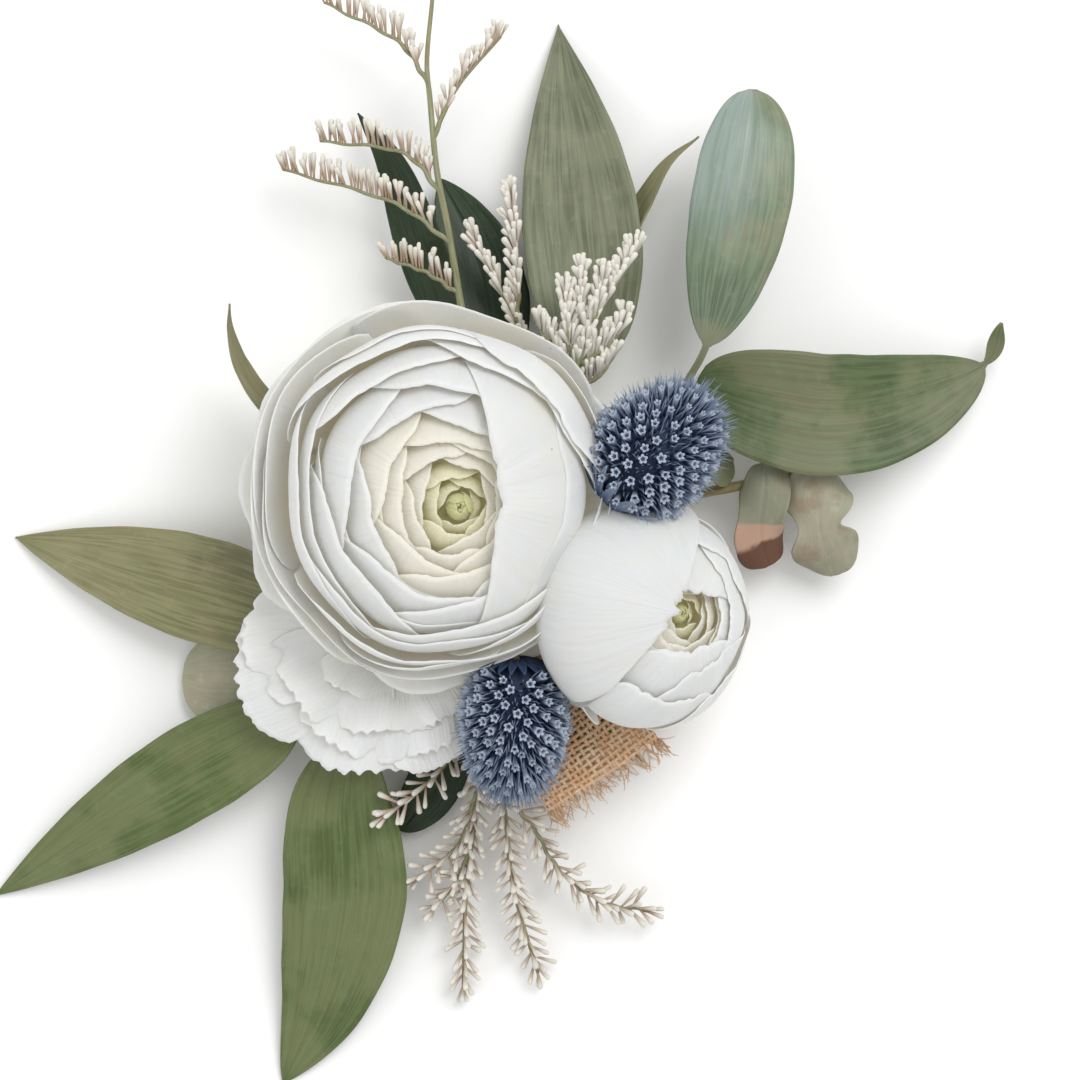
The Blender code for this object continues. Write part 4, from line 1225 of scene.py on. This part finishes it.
def carnation_petal(base, heading, length, half_width, tip_height, rng, start=4.5, rows=30, columns=44):
    """A fan-shaped petal with a deeply ruffled, finely toothed edge."""
    u, v = blade_steps(rows, columns)
    phase = rng.uniform(0, 2 * np.pi, 4)
    out = np.array([math.cos(heading), math.sin(heading), 0.0])
    side = np.array([-out[1], out[0], 0.0])
    ragged = 0.5 + 0.5 * np.sin(2.3 * v + phase[2])
    teeth = 0.06 * ragged * np.abs(((v * 7 + phase[0]) % 2) - 1) + 0.016 * np.abs(((v * 15 + phase[3]) % 2) - 1)
    teeth = teeth + 0.05 * np.sin(2.6 * v + phase[1])
    reach = (length - start) * u * (1 - 0.16 * np.abs(v) ** 3 + teeth * u**6)
    wide = half_width * (0.16 + 0.84 * np.sin(np.pi / 2 * np.minimum(1, 1.15 * u)))
    ruffle = 0.75 * np.sin(3.4 * v + phase[2]) + 0.28 * np.sin(8.5 * v + phase[3]) * u
    height = (tip_height - base[2]) * np.sin(np.pi / 2 * u) + ruffle * u**2.6 - 0.9 * v**2 * u**2
    sway = 0.4 * np.cos(4.2 * v + phase[2]) * u**2
    return placed(base, (out, start + reach), (side, wide * v + sway), (UP, height))


class BOUTONNIERE_OT_thistles(bpy.types.Operator):
    """Build both thistle heads with florets, spines and bracts"""

    bl_idname = "boutonniere.thistles"
    bl_label = "Thistles"

    def execute(self, context):
        thistle = chosen("thistles")
        steel, lavender = thistle.steel, thistle.lavender
        core = two_tone_finish("thistle core", thistle.navy, toned(steel, 0.7), (0.3, 1.2), 3)
        tips = between(steel, lavender, 0.55)
        spine = two_tone_finish("thistle spine", steel, tips, (0.15, 0.85), 5, 0.6)
        star = two_tone_finish(
            "thistle star", toned(steel, 0.6), lavender, (0.2, 0.9), 7, 0.75, (0.20, 0.22, 0.34), 0.25
        )
        for name, shape in THISTLES.items():
            self.head(name, shape, thistle, core, star, spine)
        return {"FINISHED"}

    def head(self, name, shape, thistle, core_finish, star_finish, spine_finish):
        rng = np.random.default_rng(len(name) * 7)
        axis, side, top = bloom_axes(shape["axis"])
        low, high = joined_box(f"{name}_head")
        centre = (low + high) / 2 + shape["nudge"]
        length, radius = shape["half_length"], shape["radius"]

        def surface(polar, turn, size=1.0):
            ring = radius * size * np.sin(polar) ** 0.9 * (1 + 0.10 * np.cos(polar))
            back = length * size * np.cos(polar)
            return centre - axis * back + (side * np.cos(turn) + top * np.sin(turn)) * ring

        core = Patchwork()
        turns = np.linspace(0, 2 * np.pi, 40, endpoint=False)
        core.rings(np.array([[surface(p, t, 0.82) for t in turns] for p in np.linspace(0.05, 3.09, 30)]))
        core.build(f"{name}_core", core_finish, f"{name}_head")
        stars, spines = Patchwork(), Patchwork()
        count = thistle.floret_count
        for k in range(count):
            along = 0.10 + 0.90 * (k + 0.5) / count
            polar = math.acos(1 - 2 * along)
            turn = k * GOLDEN_ANGLE + rng.uniform(-0.06, 0.06)
            spot = surface(polar, turn, 0.80)
            outward = unit(
                -axis * math.cos(polar) / length
                + (side * math.cos(turn) + top * math.sin(turn)) * math.sin(polar) / radius
            )
            outward = unit(outward + axis * 0.22)
            outer_end = max(0.0, -math.cos(polar))
            size = 0.90 * (0.75 + 0.25 * math.sin(polar)) * (1 - 0.35 * outer_end) * rng.uniform(0.85, 1.12)
            star_floret(stars, spot, outward, thistle.floret_length / MM * rng.uniform(0.85, 1.25), rng, size)
            for offset in range(5):
                tilt = 2 * np.pi * offset / 5 + k
                lean = np.cross(outward, UP + 0.1)
                lean = unit(lean) * math.cos(tilt) + unit(np.cross(outward, lean)) * math.sin(tilt)
                start = spot + lean * 0.75
                direction = unit(outward + 0.30 * lean + 0.14 * axis + rng.normal(0, 0.07, 3))
                reach = thistle.spine_length / MM * (1 + 0.35 * outer_end) * rng.uniform(0.72, 1.08)
                spike(spines, start, direction, reach, 0.21)
        stars.build(f"{name}_stars", star_finish, f"{name}_head")
        spines.build(f"{name}_spines", spine_finish, f"{name}_head")
        bracts = {"blue": spine_finish, "navy": core_finish}[shape["bracts"]]
        self.ruff(name, centre - axis * (length * 0.86), axis, side, top, radius, shape["ruff"], bracts, rng)

    def ruff(self, name, base, axis, side, top, radius, spread_and_lift, finish, rng):
        """Toothed bracts round the base of a head."""
        grids = []
        count = 19
        share_out, rise = spread_and_lift
        for k in range(count):
            turn = 2 * np.pi * k / count + rng.uniform(-0.1, 0.1)
            out = side * math.cos(turn) + top * math.sin(turn)
            across = unit(np.cross(axis, out))
            reach = radius * rng.uniform(0.85, 1.1)
            u, v = blade_steps(20, 6)
            teeth = 1 + 0.7 * np.abs(((u * 7) % 1) - 0.5)
            wide = 0.62 * np.sin(np.pi * np.clip(0.16 + 0.84 * u, 0, 1)) ** 0.8 * teeth
            lift = rise * u**1.6 - 0.4 * v**2
            grids.append(placed(base, (out, 1.6 + reach * share_out * u), (across, wide * v), (axis, lift)))
        build_sheets(f"{name}_ruff", grids, finish, f"{name}_ruff", 0.0003)


class BOUTONNIERE_OT_leaves(bpy.types.Operator):
    """Build the ruscus and eucalyptus leaves"""

    bl_idname = "boutonniere.leaves"
    bl_label = "Leaves"

    def execute(self, context):
        leaves = chosen("leaves")
        tan, brown, rose = (0.27, 0.235, 0.14), (0.16, 0.12, 0.07), (0.36, 0.32, 0.235)
        grey = leaves.eucalyptus
        finishes = {
            "green": leaf_finish("ruscus green", leaves.green, 3.0, (0.19, 0.20, 0.095), 0.46),
            "fresh": leaf_finish("ruscus fresh", leaves.fresh, 8.0, (0.22, 0.205, 0.125), 0.46),
            "olive": leaf_finish("ruscus olive", leaves.olive, 13.0, tan, 0.52),
            "sage": leaf_finish("ruscus sage", leaves.sage, 21.0, (0.225, 0.232, 0.155), 0.52),
            # The glossy leaf carries a painted highlight along one side of its outer blade.
            "glossy": leaf_finish("ruscus glossy", leaves.glossy, 34.0, tan, 0.36, coat=0.3, painted_highlight=0.48),
            # Painted shade: the dark finish is the ruscus green darkened for leaves lying in shadow.
            "dark": leaf_finish("ruscus dark", leaves.dark, 41.0, (0.03, 0.045, 0.02), 0.42),
            "eucalyptus": leaf_finish("eucalyptus", grey, 55.0, rose, 0.62, rust=0.38, fibre=0.25),
            # Painted light: a copy of the eucalyptus grey lightened by half, making up for the shade that the
            # left leaf lies in.
            "pale": leaf_finish("eucalyptus pale", toned(grey, 1.5), 58.0, rose, 0.62, rust=0.2, fibre=0.25),
            "rusty": leaf_finish(
                "eucalyptus underside", toned(grey, 0.8), 67.0, brown, 0.62, fibre=0.2, bands=True
            ),
        }
        for name, shape in LEAVES.items():
            build_sheets(f"{name}_blade", [leaf_grid(shape)], finishes[shape["finish"]], name, leaves.thickness)
        return {"FINISHED"}


class BOUTONNIERE_OT_stems(bpy.types.Operator):
    """Build the stems and the floral tape that binds them"""

    bl_idname = "boutonniere.stems"
    bl_label = "Stems and tape"

    def execute(self, context):
        finishes = [
            stem_finish("fresh stem", (0.15, 0.21, 0.075), 1.0),
            stem_finish("woody stem", (0.20, 0.17, 0.075), 2.0),
        ]
        for number, (name, (place, way)) in enumerate(STEMS.items()):
            route = bundled_route(place, way, 44)
            swell = 1.0 + 0.05 * np.sin(np.linspace(0, 26, len(route)) + number)
            radii = swell * np.interp(np.linspace(0, 1, len(route)), [0, 0.6, 1], [1.05, 0.98, 0.75])
            patch = Patchwork()
            patch.tube(route, radii, sides=12)
            patch.build(f"{name}_stalk", finishes["thistle" in name or "eucalyptus" in name], name)
        self.tape()
        return {"FINISHED"}

    def tape(self):
        """Crepe tape wound in overlapping turns."""
        low, high = joined_box("floral_tape")
        length = 12.0
        along = np.linspace(-1.0, length - 1.0, 90)
        turns = np.linspace(0, 2 * np.pi, 72, endpoint=False)
        a, t = np.meshgrid(along, turns, indexing="ij")
        step = (a / 3.4 - t / (2 * np.pi)) % 1.0
        radius = (high[2] - low[2]) / 2 - 0.42 + 0.30 * step + 0.05 * np.sin(9 * t + a)
        patch = Patchwork()
        round_stems = (BUNDLE_SIDE, radius * np.cos(t)), (UP, radius * np.sin(t))
        patch.rings(placed(NECK, (BUNDLE_DOWN, a), *round_stems), capped=False)
        patch.build("floral_tape_wound", tape_finish("crepe floral tape"), "floral_tape", 0.0004)


class BOUTONNIERE_OT_statice(bpy.types.Operator):
    """Build the statice sprigs with all their florets"""

    bl_idname = "boutonniere.statice"
    bl_label = "Statice"

    def execute(self, context):
        statice = chosen("statice")
        stalk = stem_finish("statice stalk", statice.stalk, 8.0)
        sizes = (statice.floret_length, statice.floret_width, statice.floret_pitch)
        length, width, pitch = (size / MM for size in sizes)
        for number, (name, sprig) in enumerate(SPRIGS.items()):
            rng = np.random.default_rng(60 + number)
            base = between(toned(statice.cream, 0.55, 0.06), statice.rose, sprig["pink"])
            papery = two_tone_finish(
                f"{name} floret", base, statice.cream, (0.30, 0.95), 70 + number, 0.8, statice.rose, 0.12
            )
            route = bundled_route(sprig["place"], sprig["route"], 12 * len(sprig["route"]))
            place = np.linspace(0, 1, len(route))
            stems, florets = Patchwork(), Patchwork()
            stems.tube(route, np.interp(place, [0, 0.5, 1], [1.0, 0.62, 0.30]), sides=10)
            habit = sprig["lean"], length, width, sprig["gap"] * pitch, rng
            florets_along(florets, route[int(sprig["bare"] * len(route)) :], *habit)
            for way in sprig["branches"]:
                line = smooth_route(way, 14 * (len(way) - 1))
                line = line + 0.12 * np.sin(np.arange(len(line)))[:, None]
                stems.tube(line, np.interp(np.linspace(0, 1, len(line)), [0, 1], [0.45, 0.22]), sides=8)
                florets_along(florets, line, *habit, start=0.12)
            stems.build(f"{name}_stalk", stalk, name)
            florets.build(f"{name}_florets", papery, name)
        return {"FINISHED"}


def sleeve_point(share, turn):
    """A point of the burlap sleeve's cloth, flattened where it lies on the surface."""
    half_width = 7.9 + 3.2 * np.maximum(share, 0.0) ** 1.3
    half_height = np.where(np.sin(turn) < 0, 9.4, 7.9 - 0.6 * share)
    round_stems = (BUNDLE_SIDE, half_width * np.cos(turn)), (UP, half_height * np.sin(turn))
    spot = placed(NECK, (BUNDLE_DOWN, SLEEVE_START + SLEEVE_LENGTH * share), *round_stems)
    spot[..., 2] = np.maximum(spot[..., 2], CLOTH_CLEARANCE)
    return spot


def sleeve_facing(share, turn):
    """Outward direction of the cloth."""
    step = 0.02
    along = sleeve_point(share + step, turn) - sleeve_point(share - step, turn)
    around = sleeve_point(share, turn + step) - sleeve_point(share, turn - step)
    out = np.cross(around, along)
    out = out / np.maximum(np.linalg.norm(out, axis=-1, keepdims=True), 1e-9)
    centre = placed(NECK, (BUNDLE_DOWN, SLEEVE_START + SLEEVE_LENGTH * share))
    inward = ((sleeve_point(share, turn) - centre) * out).sum(-1, keepdims=True) < 0
    return np.where(inward, -out, out)


class BOUTONNIERE_OT_burlap(bpy.types.Operator):
    """Weave the burlap sleeve and fray its rim"""

    bl_idname = "boutonniere.burlap"
    bl_label = "Burlap sleeve"

    def execute(self, context):
        burlap = chosen("burlap")
        finish = thread_finish("jute thread", burlap.jute, burlap.straw)
        rng = np.random.default_rng(9)
        warps, wefts = burlap.warp_count, burlap.weft_count
        half, flat = burlap.thread_width / MM / 2, burlap.thread_depth / burlap.thread_width
        sway = burlap.thread_depth / MM * 0.52
        cloth, fringe = Patchwork(), Patchwork()
        for i in range(warps):
            share = np.linspace(0.0, 1.0, wefts * 4 + 1)
            turn = 2 * np.pi * (i + rng.uniform(-0.12, 0.12)) / warps + 0.02 * np.sin(5 * share + i)
            facing = sleeve_facing(share, turn)
            weave = sway * np.cos(np.pi * (share * wefts + i))
            route = sleeve_point(share, turn) + facing * weave[:, None]
            cloth.tube(route, half * rng.uniform(0.85, 1.1), sides=6, facing=facing, flat=flat)
            self.frayed_end(fringe, route[-1], facing[-1], half * 0.8, rng)
        for j in range(wefts):
            turn = np.linspace(0, 2 * np.pi, warps * 4 + 1)
            share = np.clip((j + 0.5 + rng.uniform(-0.1, 0.1)) / wefts + 0.004 * np.sin(4 * turn + j), 0, 1)
            facing = sleeve_facing(share, turn)
            weave = sway * np.cos(np.pi * (turn * warps / (2 * np.pi) + j))
            route = sleeve_point(share, turn) - facing * weave[:, None]
            cloth.tube(route, half * rng.uniform(0.85, 1.1), sides=6, facing=facing, flat=flat)
        sleeve = cloth.build("burlap_sleeve", finish, "burlap_wrap")
        frayed = fringe.build("burlap_fringe", finish, "burlap_wrap", stands_for_it=False)
        return {"FINISHED"}

    def frayed_end(self, patch, start, facing, radius, rng):
        """Two thinner strands from the end of a thread, curling as they leave the cloth."""
        for _ in range(2):
            reach = rng.uniform(1.2, 4.2)
            t = np.linspace(0, 1, 12)[:, None]
            drift = BUNDLE_SIDE * rng.normal(0, 0.9) + facing * rng.normal(0.1, 0.5)
            curl = rng.uniform(-0.5, 0.5)
            route = start + BUNDLE_DOWN * (reach * t) + drift * t**2 + BUNDLE_SIDE * (curl * np.sin(5 * t))
            route[:, 2] = np.maximum(route[:, 2], CLEARANCE)
            patch.tube(route, radius * np.linspace(0.6, 0.2, 12), sides=5)


class BOUTONNIERE_OT_stage(bpy.types.Operator):
    """Set the pale floor, the soft lights and the camera"""

    bl_idname = "boutonniere.stage"
    bl_label = "Stage"

    def execute(self, context):
        stage = chosen("stage")
        scene = context.scene
        scene.view_settings.view_transform = "Standard"
        half = 3.0
        corners = [(-half, -half, 0), (half, -half, 0), (half, half, 0), (-half, half, 0)]
        mesh = bpy.data.meshes.new("floor")
        mesh.from_pydata(corners, [], [(0, 1, 2, 3)])
        finish = Finish("pale floor", roughness=0.9, Specular_IOR_Level=0.1)
        cloud = finish.pattern("Mottle", Scale=14.0, Low=0.3, High=0.8)
        finish.colour(finish.over(stage.floor, cloud["Mask"], 0.3, toned(stage.floor, 0.985)))
        mesh.materials.append(finish.material)
        floor = bpy.data.objects.new("floor", mesh)
        scene.collection.objects.link(floor)
        self.light("key", (0.34, 0.42, 0.75), 0.55, stage.key_power)
        self.light("fill", (-0.55, -0.25, 0.55), 0.6, stage.key_power * 0.22)
        world = bpy.data.worlds.new("even sky")
        world.use_nodes = True
        background = world.node_tree.nodes["Background"].inputs
        background["Color"].default_value = (1.0, 1.0, 0.995, 1.0)
        background["Strength"].default_value = stage.sky_strength
        scene.world = world
        camera = bpy.data.cameras.new("camera")
        camera.sensor_width = 36.0
        camera.lens = 120.0
        camera.clip_start = 0.01
        spot = bpy.data.objects.new("camera", camera)
        spot.location = (0.00517, 0.01722, stage.camera_height)
        scene.collection.objects.link(spot)
        scene.camera = spot
        return {"FINISHED"}

    def light(self, name, place, size, power):
        """A square soft light that faces the flowers."""
        data = bpy.data.lights.new(name, "AREA")
        data.shape = "SQUARE"
        data.size = size
        data.energy = power
        made = bpy.data.objects.new(name, data)
        made.location = place
        aim = np.array([0.0, 0.01, 0.02]) - np.array(place)
        flat = math.hypot(aim[0], aim[1])
        made.rotation_euler = (math.atan2(flat, -aim[2]), 0.0, math.atan2(aim[1], aim[0]) - math.pi / 2)
        bpy.context.scene.collection.objects.link(made)


class BOUTONNIERE_PT_panel(bpy.types.Panel):
    """Settings and build buttons of the boutonniere"""

    bl_idname = "BOUTONNIERE_PT_panel"
    bl_label = "Boutonniere"
    bl_space_type = "VIEW_3D"
    bl_region_type = "UI"
    bl_category = "Boutonniere"

    def draw(self, context):
        for group in SETTINGS:
            box = self.layout.box()
            box.label(text=group.capitalize())
            held = chosen(group)
            for label in held.bl_rna.properties.keys():
                if label not in ("rna_type", "name"):
                    box.prop(held, label)
        for operator in OPERATORS:
            self.layout.operator(operator.bl_idname)


OPERATORS = [
    BOUTONNIERE_OT_large_ranunculus,
    BOUTONNIERE_OT_small_ranunculus,
    BOUTONNIERE_OT_carnation,
    BOUTONNIERE_OT_thistles,
    BOUTONNIERE_OT_leaves,
    BOUTONNIERE_OT_stems,
    BOUTONNIERE_OT_statice,
    BOUTONNIERE_OT_burlap,
    BOUTONNIERE_OT_stage,
]


def register():
    for group, settings in SETTINGS.items():
        bpy.utils.register_class(settings)
        setattr(bpy.types.Scene, f"boutonniere_{group}", bpy.props.PointerProperty(type=settings))
    for operator in OPERATORS:
        bpy.utils.register_class(operator)
    bpy.utils.register_class(BOUTONNIERE_PT_panel)


def unregister():
    bpy.utils.unregister_class(BOUTONNIERE_PT_panel)
    for operator in reversed(OPERATORS):
        bpy.utils.unregister_class(operator)
    for group, settings in SETTINGS.items():
        delattr(bpy.types.Scene, f"boutonniere_{group}")
        bpy.utils.unregister_class(settings)


def main():
    register()
    for operator in OPERATORS:
        space, name = operator.bl_idname.split(".")
        getattr(getattr(bpy.ops, space), name)()


if __name__ == "__main__":
    main()
